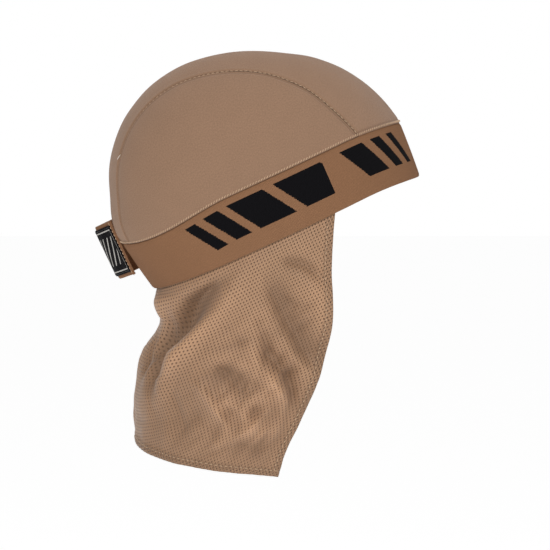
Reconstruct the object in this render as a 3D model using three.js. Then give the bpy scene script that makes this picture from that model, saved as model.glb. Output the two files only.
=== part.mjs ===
import * as THREE from 'three';
import { mergeVertices } from 'three/addons/utils/BufferGeometryUtils.js';

// Skull wrap: a crown of three stretch panels, an elastic headband, a mesh flap for
// the neck, and a closure strap with a woven label at the back.
// Millimetres, +Z up, the face at -Y, the wearer's left at +X.
// The origin is where the top of the head touches the inside of the crown.

// Head form, outside the cloth
const HEAD_LENGTH = 196.2;
const HEAD_WIDTH = 156;
const CROWN_HEIGHT = 86.3;
const EQUATOR_DROP = 10;
const ROUNDNESS = 2.2;
const RING_TILT = THREE.MathUtils.degToRad(25);

// Cloth
const CROWN_WALL = 1.2;
const BAND_WALL = 2;
const FLAP_WALL = 1;
const HEM_WALL = 1.6;
const STRAP_WALL = 1.6;
const LABEL_WALL = 0.8;
const CLEARANCE = 0.35;
const TUCK_EASE = 0.6;

// Headband, whose top lies inside the crown's lower edge
const BAND_SHOWN = 36.7;
const BAND_TUCK = 3.3;
const BAND_INSET = 0.5;
const BAND_TAPER = 3;
const NAPE_TAPER = 6.5;
const FRONT_DIP = 5;
const DIP_SPAN = 50;
const NAPE_RISE = 2;
const NAPE_SPAN = 60;
const SIDE_DIP = 4.5;
const SIDE_DIP_TURN = 145;
const SIDE_DIP_SPAN = 40;

// Neck flap, whose top lies inside the headband
const FLAP_TUCK = 8;
const FLAP_OPENING = 129;
const FLAP_FRONT_DROP = 165.5;
const FLAP_REAR_DROP = 102;
const FRONT_HEM = 7;
const BOTTOM_HEM = 5;
const FOLD_DEPTH = 6;
const FOLD_WIDTH = 16;

// Closure strap and its label
const STRAP_HEIGHT = 38.1;
const STRAP_RISE = -2.3;
const STRAP_STANDOFF = 18;
const STRAP_SPAN = 42;
const LABEL_HEIGHT = 33.5;
const LABEL_LENGTH = 30;
const LABEL_START = 0.2;

// Steps of the grids
const CENTRE_GRID = { along: 26, across: 16 };
const SIDE_GRID = { along: 30, up: 9 };
const BAND_STEPS = 80;
const FLAP_GRID = { around: 46, down: 24 };
const STRAP_STEPS = 30;
const LABEL_STEPS = 10;

// Centre line of the crown from the face edge (0) over the top to the nape (180):
// its reach from the form's middle as a share of a plain ellipse.
const CROWN_PROFILE = [
  { turn: 0, reach: 1.0 },
  { turn: 12, reach: 0.98 },
  { turn: 30, reach: 0.965 },
  { turn: 45, reach: 0.951 },
  { turn: 58, reach: 0.941 },
  { turn: 72, reach: 0.956 },
  { turn: 90, reach: 1.0 },
  { turn: 108, reach: 1.05 },
  { turn: 124, reach: 1.074 },
  { turn: 141, reach: 1.072 },
  { turn: 156, reach: 1.047 },
  { turn: 168, reach: 1.042 },
  { turn: 180, reach: 1.006 },
];

// Half the width of the centre panel as a share of half the head's width
const CENTRE_PANEL = [
  { turn: 0, width: 0.755 },
  { turn: 28, width: 0.745 },
  { turn: 48, width: 0.68 },
  { turn: 66, width: 0.605 },
  { turn: 88, width: 0.545 },
  { turn: 116, width: 0.468 },
  { turn: 140, width: 0.44 },
  { turn: 180, width: 0.44 },
];

// The flap's rows from the headband (0) to the hem (1). The front edges and the
// nape move back by shares of their own drops, and the width is a share of the top's.
const FLAP_ROWS = [
  { down: 0, front: 0, nape: 0, width: 1 },
  { down: 0.08, front: 0.007, nape: 0.01, width: 1.02 },
  { down: 0.2, front: 0.012, nape: -0.025, width: 1.01 },
  { down: 0.3, front: 0.01, nape: 0.003, width: 1.0 },
  { down: 0.4, front: 0.012, nape: 0.06, width: 0.99 },
  { down: 0.5, front: 0.027, nape: 0.095, width: 0.97 },
  { down: 0.6, front: 0.053, nape: 0.112, width: 0.95 },
  { down: 0.7, front: 0.09, nape: 0.122, width: 0.93 },
  { down: 0.8, front: 0.136, nape: 0.128, width: 0.91 },
  { down: 0.9, front: 0.183, nape: 0.133, width: 0.89 },
  { down: 1, front: 0.212, nape: 0.142, width: 0.87 },
];

// Folds of the flap, each a straight stretch on the cloth from one place to another.
// A place is a turn from the face towards the wearer's right, in degrees (past 180 is
// the left side), and a share of the drop. Width and depth are shares of the named
// fold sizes, and a negative depth is a valley.
const FOLDS = [
  { turn: 123, down: 0.13, toTurn: 146, toDown: 0.6, width: 0.75, depth: -1.0 },
  { turn: 117, down: 0.17, toTurn: 134, toDown: 0.7, width: 0.7, depth: 0.7 },
  { turn: 155, down: 0.34, toTurn: 154, toDown: 0.68, width: 0.6, depth: -1.1 },
  { turn: 160, down: 0.04, toTurn: 160, toDown: 0.2, width: 0.9, depth: 0.6 },
  { turn: 92, down: 0.22, toTurn: 65, toDown: 0.55, width: 0.55, depth: -0.6 },
  { turn: 79, down: 0.12, toTurn: 64, toDown: 0.45, width: 0.6, depth: 0.5 },
  { turn: 89, down: 0.51, toTurn: 69, toDown: 0.72, width: 0.45, depth: -0.7 },
  { turn: 96, down: 0.5, toTurn: 82, toDown: 0.64, width: 0.6, depth: 0.6 },
  { turn: 104, down: 0.58, toTurn: 86, toDown: 0.72, width: 0.6, depth: 0.35 },
  { turn: 115, down: 0.68, toTurn: 101, toDown: 0.86, width: 0.4, depth: 0.4 },
  { turn: 93, down: 0.81, toTurn: 81, toDown: 0.76, width: 0.35, depth: -0.35 },
  { turn: 96, down: 0.87, toTurn: 79, toDown: 0.78, width: 0.35, depth: 0.4 },
  { turn: 205, down: 0.15, toTurn: 212, toDown: 0.75, width: 0.8, depth: -0.8 },
  { turn: 237, down: 0.15, toTurn: 224, toDown: 0.7, width: 0.75, depth: -0.9 },
  { turn: 246, down: 0.2, toTurn: 236, toDown: 0.8, width: 0.7, depth: 0.7 },
  { turn: 268, down: 0.25, toTurn: 290, toDown: 0.6, width: 0.55, depth: -0.6 },
  { turn: 262, down: 0.5, toTurn: 272, toDown: 0.85, width: 0.6, depth: 0.5 },
  { turn: 184, down: 0.4, toTurn: 186, toDown: 0.95, width: 0.9, depth: 0.5 },
];

// The strap's route from its root at the nape towards the wearer's left: turns and
// stand-offs from the head as shares of the named sizes.
const STRAP_ROUTE = [
  { turn: -0.2, off: 0 },
  { turn: -0.06, off: 0.01 },
  { turn: 0.06, off: 0.22 },
  { turn: 0.18, off: 0.6 },
  { turn: 0.32, off: 0.95 },
  { turn: 0.46, off: 0.9 },
  { turn: 0.6, off: 0.55 },
  { turn: 0.73, off: 0.15 },
  { turn: 0.86, off: 0 },
  { turn: 1, off: 0 },
];

const half = (size) => size / 2;
const radians = THREE.MathUtils.degToRad;
const mix = THREE.MathUtils.lerp;
const clampShare = (value) => THREE.MathUtils.clamp(value, 0, 1);

// A smooth curve through one column of a table, by its first column.
function read(rows, column, at) {
  const key = Object.keys(rows[0])[0];
  const last = rows.length - 2;
  let i = 0;
  while (i < last && rows[i + 1][key] < at) i += 1;
  const low = rows[i];
  const high = rows[i + 1];
  const share = (at - low[key]) / (high[key] - low[key]);
  const slope = (j) => {
    const before = rows[Math.max(j - 1, 0)];
    const after = rows[Math.min(j + 1, rows.length - 1)];
    return (after[column] - before[column]) / (after[key] - before[key]);
  };
  const span = high[key] - low[key];
  const s2 = share * share;
  const s3 = s2 * share;
  return (2 * s3 - 3 * s2 + 1) * low[column] + (s3 - 2 * s2 + share) * span * slope(i)
    + (3 * s2 - 2 * s3) * high[column] + (s3 - s2) * span * slope(i + 1);
}

// The head form, in the frame of the headband: x to the left, y to the nape, z square
// to the plane where crown and band meet.
function reachAt(turn) {
  const c = Math.cos(radians(turn)) / half(HEAD_LENGTH);
  const s = Math.sin(radians(turn)) / (CROWN_HEIGHT + EQUATOR_DROP);
  return read(CROWN_PROFILE, 'reach', turn) / Math.hypot(c, s);
}

function formPoint(x, turn) {
  const share = Math.min(Math.abs(x) / half(HEAD_WIDTH), 1);
  const reach = reachAt(turn) * Math.pow(1 - Math.pow(share, ROUNDNESS), 1 / ROUNDNESS);
  const y = -reach * Math.cos(radians(turn));
  return new THREE.Vector3(x, y, reach * Math.sin(radians(turn)) - EQUATOR_DROP);
}

// Below 1 inside the form and above 1 outside it
function formGauge(point) {
  const up = point.z + EQUATOR_DROP;
  const turn = THREE.MathUtils.radToDeg(Math.atan2(up, -point.y));
  const side = Math.abs(point.x) / half(HEAD_WIDTH);
  const reach = Math.hypot(up, point.y) / reachAt(turn);
  return Math.pow(side, ROUNDNESS) + Math.pow(reach, ROUNDNESS);
}

function formNormal(point) {
  const step = 0.02;
  const normal = new THREE.Vector3();
  for (const axis of ['x', 'y', 'z']) {
    const ahead = point.clone();
    const behind = point.clone();
    ahead[axis] += step;
    behind[axis] -= step;
    normal[axis] = formGauge(ahead) - formGauge(behind);
  }
  return normal.normalize();
}

// The form's point straight out from its middle through a direction
function formAlong(direction) {
  const fromMiddle = direction.clone();
  fromMiddle.z -= EQUATOR_DROP;
  const scale = Math.pow(formGauge(fromMiddle), -1 / ROUNDNESS);
  fromMiddle.copy(direction).multiplyScalar(scale);
  fromMiddle.z -= EQUATOR_DROP;
  return fromMiddle;
}

// The form at a height, seen from above: around is the turn from the face
function formRing(around, height) {
  const out = new THREE.Vector3(Math.sin(radians(around)), -Math.cos(radians(around)), 0);
  let low = 0;
  let high = HEAD_LENGTH;
  for (let i = 0; i < 40; i += 1) {
    const reach = half(low + high);
    const point = out.clone().multiplyScalar(reach);
    point.z = height;
    if (formGauge(point) < 1) low = reach;
    else high = reach;
  }
  out.multiplyScalar(low);
  out.z = height;
  return out;
}

function insetRing(around, formHeight, inset, height) {
  const point = formRing(around, formHeight);
  const normal = formNormal(point).setZ(0).normalize();
  point.addScaledVector(normal, -inset);
  point.z = height;
  return point;
}

// 1 at a place and 0 past a span from it, with a smooth fall between
const nearness = (away, span) => half(1 + Math.cos(Math.PI * clampShare(away / span)));

// A turn from the face without its side, from 0 to 180
const turnOf = (around) => Math.abs(THREE.MathUtils.euclideanModulo(around + 180, 360) - 180);

// The headband's lower edge, and the line where the crown ends on the headband
function bandBottom(around) {
  const turn = turnOf(around);
  const sway = NAPE_RISE * nearness(180 - turn, NAPE_SPAN) - FRONT_DIP * nearness(turn, DIP_SPAN);
  return sway - BAND_SHOWN;
}

function seamHeight(around) {
  const dip = SIDE_DIP * nearness(Math.abs(turnOf(around) - SIDE_DIP_TURN), SIDE_DIP_SPAN);
  return bandBottom(around) + BAND_SHOWN - dip;
}

// How far the headband's face leans in from the seam to the lower edge
function bandTaper(around) {
  return mix(BAND_TAPER, NAPE_TAPER, nearness(180 - turnOf(around), NAPE_SPAN));
}

const aroundOf = (point) => THREE.MathUtils.radToDeg(Math.atan2(point.x, -point.y));

// Geometry of a cloth wall from two grids of points, the outer and the inner face
function wallGeometry(outer, inner) {
  const rows = outer.length;
  const columns = outer[0].length;
  const points = [...outer.flat(), ...inner.flat()];
  const back = rows * columns;
  const index = [];
  const quad = (a, b, c, d) => index.push(a, b, c, a, c, d);
  const at = (i, j) => i * columns + j;
  for (let i = 0; i + 1 < rows; i += 1) {
    for (let j = 0; j + 1 < columns; j += 1) {
      quad(at(i, j), at(i, j + 1), at(i + 1, j + 1), at(i + 1, j));
      quad(back + at(i, j), back + at(i + 1, j), back + at(i + 1, j + 1), back + at(i, j + 1));
    }
  }
  for (let j = 0; j + 1 < columns; j += 1) {
    quad(at(0, j), back + at(0, j), back + at(0, j + 1), at(0, j + 1));
    const end = rows - 1;
    quad(at(end, j), at(end, j + 1), back + at(end, j + 1), back + at(end, j));
  }
  for (let i = 0; i + 1 < rows; i += 1) {
    quad(at(i, 0), at(i + 1, 0), back + at(i + 1, 0), back + at(i, 0));
    const end = columns - 1;
    quad(at(i, end), back + at(i, end), back + at(i + 1, end), at(i + 1, end));
  }
  return closedGeometry(points, index);
}

// Geometry of a closed ring from its sections, each a loop of points
function ringGeometry(sections) {
  const count = sections.length;
  const size = sections[0].length;
  const index = [];
  for (let i = 0; i < count; i += 1) {
    for (let j = 0; j < size; j += 1) {
      const a = i * size + j;
      const b = i * size + ((j + 1) % size);
      const c = ((i + 1) % count) * size + ((j + 1) % size);
      const d = ((i + 1) % count) * size + j;
      index.push(a, b, c, a, c, d);
    }
  }
  return closedGeometry(sections.flat(), index);
}

// One closed body: points that coincide are joined, empty triangles are dropped and
// the faces are turned outwards.
function closedGeometry(points, index) {
  const geometry = new THREE.BufferGeometry().setFromPoints(points);
  geometry.setIndex(index);
  const merged = mergeVertices(geometry, 1e-3);
  const corners = merged.index.array;
  const kept = [];
  for (let i = 0; i < corners.length; i += 3) {
    const [a, b, c] = [corners[i], corners[i + 1], corners[i + 2]];
    if (a !== b && b !== c && a !== c) kept.push(a, b, c);
  }
  const place = (i) => new THREE.Vector3().fromBufferAttribute(merged.attributes.position, i);
  let volume = 0;
  for (let i = 0; i < kept.length; i += 3) {
    volume += place(kept[i]).dot(place(kept[i + 1]).cross(place(kept[i + 2])));
  }
  merged.setIndex(volume > 0 ? kept : kept.reverse());
  merged.computeVertexNormals();
  return merged;
}

function cloth(name, geometry, color, roughness) {
  const material = new THREE.MeshStandardMaterial({ color, roughness, metalness: 0 });
  const mesh = new THREE.Mesh(geometry, material);
  mesh.name = name;
  return mesh;
}

// A wall of the crown's thickness inside a grid of points on the form
function crownGeometry(outer) {
  const inward = (point) => point.clone().addScaledVector(formNormal(point), -CROWN_WALL);
  return wallGeometry(outer, outer.map((row) => row.map(inward)));
}

const panelEdge = (turn) => read(CENTRE_PANEL, 'width', turn) * half(HEAD_WIDTH);

// The turn at which a line across the crown ends on the seam line, at the face or
// at the nape. The line's place is a share of the centre panel's half width.
function endTurn(share, extra, atNape) {
  let low = 0;
  let high = 60;
  for (let i = 0; i < 40; i += 1) {
    const turn = half(low + high);
    const real = atNape ? 180 - turn : turn;
    const point = formPoint(share * panelEdge(real) + extra, real);
    if (point.z < seamHeight(aroundOf(point))) low = turn;
    else high = turn;
  }
  return atNape ? 180 - low : low;
}

function panelPoint(share, extra, along) {
  const turn = mix(endTurn(share, extra, false), endTurn(share, extra, true), along);
  return formPoint(share * panelEdge(turn) + extra, turn);
}

function centrePanel() {
  const { along, across } = CENTRE_GRID;
  const outer = [];
  for (let i = 0; i <= along; i += 1) {
    const row = [];
    for (let j = 0; j <= across; j += 1) {
      row.push(panelPoint((2 * j) / across - 1, 0, i / along));
    }
    outer.push(row);
  }
  return crownGeometry(outer);
}

// A side panel is a half moon: its columns close up at the face and at the nape.
// side is 1 on the wearer's left and -1 on the right.
function sidePanel(side) {
  const { along, up } = SIDE_GRID;
  const front = aroundOf(panelPoint(1, CLEARANCE, 0));
  const nape = aroundOf(panelPoint(1, CLEARANCE, 1));
  const middle = new THREE.Vector3(0, 0, -EQUATOR_DROP);
  const outer = [];
  for (let i = 0; i <= along; i += 1) {
    const top = panelPoint(1, CLEARANCE, i / along);
    const around = mix(front, nape, i / along);
    const foot = formRing(around, seamHeight(around));
    const from = foot.clone().sub(middle).normalize();
    const to = top.clone().sub(middle).normalize();
    const angle = from.angleTo(to);
    const row = [];
    for (let j = 0; j <= up; j += 1) {
      const closed = i === 0 || i === along;
      const share = j / up;
      const direction = from.clone().multiplyScalar(Math.sin((1 - share) * angle));
      direction.addScaledVector(to, Math.sin(share * angle));
      const point = closed ? top.clone() : formAlong(direction);
      point.x *= side;
      row.push(point);
    }
    outer.push(row);
  }
  return crownGeometry(outer);
}

// The headband's section: a flat band whose top is thinned where the crown covers it
function bandSection(around) {
  const seam = seamHeight(around);
  const bottom = bandBottom(around);
  const taper = bandTaper(around);
  const ledge = seam - CLEARANCE;
  const top = seam + BAND_TUCK;
  const covered = CROWN_WALL + TUCK_EASE;
  const inner = BAND_INSET + BAND_WALL;
  return [
    insetRing(around, seam, taper, bottom),
    insetRing(around, seam, half(taper + BAND_INSET), half(bottom + ledge)),
    insetRing(around, seam, BAND_INSET, ledge - CLEARANCE),
    insetRing(around, seam, covered, ledge),
    insetRing(around, top, covered, top),
    insetRing(around, top, inner, top),
    insetRing(around, seam, inner, ledge),
    insetRing(around, seam, taper + BAND_WALL, bottom),
  ];
}

function headband() {
  const sections = [];
  for (let i = 0; i < BAND_STEPS; i += 1) sections.push(bandSection((360 * i) / BAND_STEPS));
  return ringGeometry(sections);
}

// The frame of the headband, tilted back so that the crown's inside touches the origin
const bandFrame = new THREE.Group();
bandFrame.rotation.x = -RING_TILT;
bandFrame.updateMatrix();
let apex = new THREE.Vector3(0, 0, -Infinity);
for (let turn = 30; turn <= 150; turn += 0.25) {
  const point = formPoint(0, turn);
  point.addScaledVector(formNormal(point), -CROWN_WALL).applyMatrix4(bandFrame.matrix);
  if (point.z > apex.z) apex = point;
}
bandFrame.position.copy(apex).negate();
bandFrame.updateMatrix();

// The flap's place inside the headband's lower edge, some way up from that edge.
// around runs from the face towards the wearer's right.
function flapTop(around, rise) {
  const height = bandBottom(around) + rise;
  const lean = mix(bandTaper(around), BAND_INSET, rise / BAND_SHOWN);
  const inset = lean + BAND_WALL + TUCK_EASE;
  return insetRing(-around, seamHeight(around), inset, height).applyMatrix4(bandFrame.matrix);
}

// Its line on that edge, worked out once for each turn
const edgePoints = new Map();
function flapEdge(around) {
  if (!edgePoints.has(around)) edgePoints.set(around, flapTop(around, 0));
  return edgePoints.get(around).clone();
}

const frontTurn = half(FLAP_OPENING);
const frontTop = flapEdge(frontTurn);
const napeTop = flapEdge(180);

// A point of the flap without its folds. drop is a length of cloth at this turn.
function flapFall(around, down) {
  const top = flapEdge(around);
  const back = (top.y - frontTop.y) / (napeTop.y - frontTop.y);
  const shift = mix(
    read(FLAP_ROWS, 'front', down) * FLAP_FRONT_DROP,
    read(FLAP_ROWS, 'nape', down) * FLAP_REAR_DROP,
    back,
  );
  const drop = mix(FLAP_FRONT_DROP, FLAP_REAR_DROP, back);
  const x = top.x * read(FLAP_ROWS, 'width', down);
  return { point: new THREE.Vector3(x, top.y + shift, top.z - drop * down), drop };
}

function flapNormal(around, down) {
  const step = 0.01;
  const across = flapFall(around + 1, down).point.sub(flapFall(around - 1, down).point);
  const along = flapFall(around, down + step).point.sub(flapFall(around, down - step).point);
  return across.cross(along).normalize();
}

// How far the folds move the cloth outwards. The cloth lies flat under the headband.
function foldDepth(around, down, drop) {
  const perTurn = radians(half(half(HEAD_LENGTH + HEAD_WIDTH)));
  const spot = new THREE.Vector2(around * perTurn, down * drop);
  let depth = 0;
  for (const fold of FOLDS) {
    const from = new THREE.Vector2(fold.turn * perTurn, fold.down * drop);
    const run = new THREE.Vector2(fold.toTurn * perTurn, fold.toDown * drop).sub(from);
    const share = clampShare(spot.clone().sub(from).dot(run) / run.lengthSq());
    const away = spot.distanceTo(from.addScaledVector(run, share)) / (fold.width * FOLD_WIDTH);
    depth += fold.depth * FOLD_DEPTH * Math.exp(-away * away);
  }
  return depth * THREE.MathUtils.smoothstep(down, 0, 0.1);
}

function flapPoint(around, down, inset) {
  const { point, drop } = flapFall(around, down);
  const move = foldDepth(around, down, drop) - inset;
  return point.addScaledVector(flapNormal(around, down), move);
}

// The turned hems at the front edges and the bottom are thicker than the mesh
function flapGrid() {
  const { around, down } = FLAP_GRID;
  const reach = frontTop.clone().setY(0).length();
  const hemTurn = THREE.MathUtils.radToDeg(FRONT_HEM / reach);
  const turns = [frontTurn];
  for (let i = 0; i <= around; i += 1) {
    turns.push(mix(frontTurn + hemTurn, 360 - frontTurn - hemTurn, i / around));
  }
  turns.push(360 - frontTurn);
  const hemShare = 1 - BOTTOM_HEM / FLAP_FRONT_DROP;
  const downs = [];
  for (let i = 0; i <= down; i += 1) downs.push((hemShare * i) / down);
  downs.push(1);
  return { turns, downs };
}

function tuckedPoint(around, rise, inset) {
  return flapTop(around, rise).addScaledVector(flapNormal(around, 0), -inset);
}

function neckFlap() {
  const { turns, downs } = flapGrid();
  const wallAt = (j, down) => (j === 0 || j === turns.length - 1 || down === 1 ? HEM_WALL : FLAP_WALL);
  const outer = [];
  const inner = [];
  for (const rise of [FLAP_TUCK, half(FLAP_TUCK)]) {
    outer.push(turns.map((turn) => tuckedPoint(turn, rise, 0)));
    inner.push(turns.map((turn) => tuckedPoint(turn, rise, FLAP_WALL)));
  }
  for (const down of downs) {
    outer.push(turns.map((turn) => flapPoint(turn, down, 0)));
    inner.push(turns.map((turn, j) => flapPoint(turn, down, wallAt(j, down))));
  }
  return wallGeometry(outer, inner);
}

// The strap's route seen square to the band, outside the head all the way up
function strapRoute() {
  const heights = [STRAP_RISE - half(STRAP_HEIGHT), STRAP_RISE, STRAP_RISE + half(STRAP_HEIGHT)];
  const points = STRAP_ROUTE.map(({ turn, off }) => {
    const around = 180 - turn * STRAP_SPAN;
    const rings = heights.map((height) => formRing(around, Math.max(height, 0)));
    const widest = rings.reduce((a, b) => (a.setZ(0).length() > b.setZ(0).length() ? a : b));
    const stand = CLEARANCE + half(STRAP_WALL) + off * STRAP_STANDOFF;
    return widest.addScaledVector(formNormal(widest).setZ(0).normalize(), stand);
  });
  return new THREE.CatmullRomCurve3(points);
}

// A band that follows the route between two offsets outwards, from one share of the
// route to another
function routeBand(from, to, low, high, height, steps) {
  const route = strapRoute();
  const near = [];
  const far = [];
  for (let i = 0; i <= steps; i += 1) {
    const share = mix(from, to, i / steps);
    const point = route.getPointAt(share);
    const tangent = route.getTangentAt(share);
    const out = new THREE.Vector3(tangent.y, -tangent.x, 0).normalize();
    if (out.dot(point) < 0) out.negate();
    near.push(point.clone().addScaledVector(out, low));
    far.push(point.clone().addScaledVector(out, high));
  }
  const outline = new THREE.Shape([...near, ...far.reverse()].map((p) => new THREE.Vector2(p.x, p.y)));
  const geometry = new THREE.ExtrudeGeometry(outline, { depth: height, bevelEnabled: false });
  return geometry.translate(0, 0, STRAP_RISE - half(height));
}

function closureStrap() {
  return routeBand(0, 1, -half(STRAP_WALL), half(STRAP_WALL), STRAP_HEIGHT, STRAP_STEPS);
}

// The label starts where the strap leaves the head, a share of the way along
function strapLabel() {
  const length = strapRoute().getLength();
  const from = LABEL_START;
  const low = half(STRAP_WALL) + CLEARANCE;
  const to = from + LABEL_LENGTH / length;
  return routeBand(from, to, low, low + LABEL_WALL, LABEL_HEIGHT, LABEL_STEPS);
}

bandFrame.add(
  cloth('crown_center', centrePanel(), '#a1816a', 0.95),
  cloth('crown_side_right', sidePanel(-1), '#a1816a', 0.95),
  cloth('crown_side_left', sidePanel(1), '#a1816a', 0.95),
  cloth('headband', headband(), '#88644a', 0.9),
  cloth('closure_strap', closureStrap(), '#88644a', 0.9),
  cloth('strap_label', strapLabel(), '#0c0b0f', 0.6),
);

const group = new THREE.Group();
group.add(bandFrame, cloth('neck_flap', neckFlap(), '#a27f66', 0.95));

export default group;
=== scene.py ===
import math
from functools import partial

import bpy
import numpy as np
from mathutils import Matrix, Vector


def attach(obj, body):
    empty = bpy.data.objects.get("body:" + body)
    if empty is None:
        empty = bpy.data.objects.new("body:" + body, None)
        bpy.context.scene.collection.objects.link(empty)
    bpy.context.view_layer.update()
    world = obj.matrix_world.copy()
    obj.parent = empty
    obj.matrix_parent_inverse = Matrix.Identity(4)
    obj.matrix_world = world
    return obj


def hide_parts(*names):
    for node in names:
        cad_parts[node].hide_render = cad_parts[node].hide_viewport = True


bl_info = {
    "name": "Skull Wrap",
    "version": (1, 0, 0),
    "blender": (4, 5, 0),
    "location": "3D View > Sidebar > Skull Wrap",
    "description": "Dresses the skull wrap: crown, headband, neck flap, strap and label",
    "category": "Mesh",
}

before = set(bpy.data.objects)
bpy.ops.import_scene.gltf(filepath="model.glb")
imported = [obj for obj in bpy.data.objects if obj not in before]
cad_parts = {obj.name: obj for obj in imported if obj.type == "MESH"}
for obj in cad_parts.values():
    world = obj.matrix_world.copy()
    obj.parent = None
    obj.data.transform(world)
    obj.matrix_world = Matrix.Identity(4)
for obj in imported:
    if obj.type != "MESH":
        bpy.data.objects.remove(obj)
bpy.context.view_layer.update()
MM = 0.001
HEAD_MIDDLE = (0, 0, -0.1)

# Head form, outside the cloth, in millimetres as the solids have it
HEAD_LENGTH = 196.2
HEAD_WIDTH = 156.0
CROWN_HEIGHT = 86.3
EQUATOR_DROP = 10.0
ROUNDNESS = 2.2
RING_TILT = math.radians(25)
CROWN_WALL = 1.2
BAND_WALL = 2.0
FLAP_WALL = 1.0
STRAP_WALL = 1.6
LABEL_WALL = 0.8
CLEARANCE = 0.35
TUCK_EASE = 0.6
BAND_SHOWN = 36.7
BAND_TUCK = 3.3
BAND_INSET = 0.5
BAND_TAPER = 3.0
NAPE_TAPER = 6.5
FRONT_DIP = 5.0
DIP_SPAN = 50.0
NAPE_RISE = 2.0
NAPE_SPAN = 60.0
SIDE_DIP = 4.5
SIDE_DIP_TURN = 145.0
SIDE_DIP_SPAN = 40.0
FLAP_TUCK = 8.0
FLAP_OPENING = 129.0
FLAP_FRONT_DROP = 165.5
FLAP_REAR_DROP = 102.0
FRONT_HEM = 7.0
BOTTOM_HEM = 5.0
FOLD_DEPTH = 6.0
FOLD_WIDTH = 16.0
STRAP_HEIGHT = 38.1
STRAP_RISE = -2.3
STRAP_STANDOFF = 18.0
STRAP_SPAN = 42.0
LABEL_HEIGHT = 33.5
LABEL_LENGTH = 30.0
LABEL_START = 0.2

CROWN_PROFILE = {
    "turn": (0, 12, 30, 45, 58, 72, 90, 108, 124, 141, 156, 168, 180),
    "reach": (1.0, 0.98, 0.965, 0.951, 0.941, 0.956, 1.0, 1.05, 1.074, 1.072, 1.047, 1.042, 1.006),
}
CENTRE_PANEL = {
    "turn": (0, 28, 48, 66, 88, 116, 140, 180),
    "width": (0.755, 0.745, 0.68, 0.605, 0.545, 0.468, 0.44, 0.44),
}
FLAP_ROWS = {
    "down": (0, 0.08, 0.2, 0.3, 0.4, 0.5, 0.6, 0.7, 0.8, 0.9, 1),
    "front": (0, 0.007, 0.012, 0.01, 0.012, 0.027, 0.053, 0.09, 0.136, 0.183, 0.212),
    "nape": (0, 0.01, -0.025, 0.003, 0.06, 0.095, 0.112, 0.122, 0.128, 0.133, 0.142),
    "width": (1, 1.02, 1.01, 1.0, 0.99, 0.97, 0.95, 0.93, 0.91, 0.89, 0.87),
}
STRAP_ROUTE = {
    "turn": (-0.2, -0.06, 0.06, 0.18, 0.32, 0.46, 0.6, 0.73, 0.86, 1),
    "off": (0, 0.01, 0.22, 0.6, 0.95, 0.9, 0.55, 0.15, 0, 0),
}


def read(table, column, at):
    """A smooth curve through one column of a table, by its first column."""
    keys = np.array(next(iter(table.values())), float)
    values = np.array(table[column], float)
    at = np.asarray(at, float)
    before, after = np.roll(values, 1), np.roll(values, -1)
    before[0], after[-1] = values[0], values[-1]
    low_keys, high_keys = np.roll(keys, 1), np.roll(keys, -1)
    low_keys[0], high_keys[-1] = keys[0], keys[-1]
    slopes = (after - before) / (high_keys - low_keys)
    i = np.clip(np.searchsorted(keys, at, side="left") - 1, 0, len(keys) - 2)
    span = keys[i + 1] - keys[i]
    s = (at - keys[i]) / span
    s2, s3 = s * s, s * s * s
    low = (2 * s3 - 3 * s2 + 1) * values[i] + (s3 - 2 * s2 + s) * span * slopes[i]
    return low + (3 * s2 - 2 * s3) * values[i + 1] + (s3 - s2) * span * slopes[i + 1]


def nearness(away, span):
    """1 at a place and 0 past a span from it, with a smooth fall between."""
    return (1 + np.cos(np.pi * np.clip(away / span, 0, 1))) / 2


def smooth(value, low, high):
    """0 below low, 1 above high and a smooth rise between."""
    s = np.clip((value - low) / (high - low), 0, 1)
    return s * s * (3 - 2 * s)


def hump(away, middle, width):
    """1 at a middle, falling smoothly to 0 on both sides over a width."""
    return np.exp(-(((away - middle) / width) ** 2))


def points(x, y, z):
    return np.stack(np.broadcast_arrays(x, y, z), -1).astype(float)


def unit(vectors):
    return vectors / np.linalg.norm(vectors, axis=-1, keepdims=True)


HALVINGS = 32


def reach_at(turn):
    c = np.cos(np.radians(turn)) / (HEAD_LENGTH / 2)
    s = np.sin(np.radians(turn)) / (CROWN_HEIGHT + EQUATOR_DROP)
    return read(CROWN_PROFILE, "reach", turn) / np.hypot(c, s)


def form_point(x, turn):
    """The head form at a place across and a turn from the face over the top."""
    share = np.minimum(np.abs(x) / (HEAD_WIDTH / 2), 1)
    reach = reach_at(turn) * (1 - share**ROUNDNESS) ** (1 / ROUNDNESS)
    y = -reach * np.cos(np.radians(turn))
    return points(x, y, reach * np.sin(np.radians(turn)) - EQUATOR_DROP)


def form_gauge(p):
    """Below 1 inside the form and above 1 outside it."""
    up = p[..., 2] + EQUATOR_DROP
    turn = np.degrees(np.arctan2(up, -p[..., 1]))
    side = np.abs(p[..., 0]) / (HEAD_WIDTH / 2)
    return side**ROUNDNESS + (np.hypot(up, p[..., 1]) / reach_at(turn)) ** ROUNDNESS


def form_normal(p):
    step = 0.02
    moves = np.eye(3) * step
    return unit(np.stack([form_gauge(p + move) - form_gauge(p - move) for move in moves], -1))


def form_along(direction):
    """The form's point straight out from its middle through a direction."""
    middle = np.array([0, 0, -EQUATOR_DROP])
    scale = form_gauge(direction + middle) ** (-1 / ROUNDNESS)
    return direction * scale[..., None] + middle


def form_ring(around, height):
    """The form at a height, where around is the turn from the face."""
    around, height = np.broadcast_arrays(np.asarray(around, float), np.asarray(height, float))
    out_x, out_y = np.sin(np.radians(around)), -np.cos(np.radians(around))
    low, high = np.zeros(around.shape), np.full(around.shape, HEAD_LENGTH)
    for _ in range(HALVINGS):
        reach = (low + high) / 2
        inside = form_gauge(points(out_x * reach, out_y * reach, height)) < 1
        low, high = np.where(inside, reach, low), np.where(inside, high, reach)
    return points(out_x * low, out_y * low, height)


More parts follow.
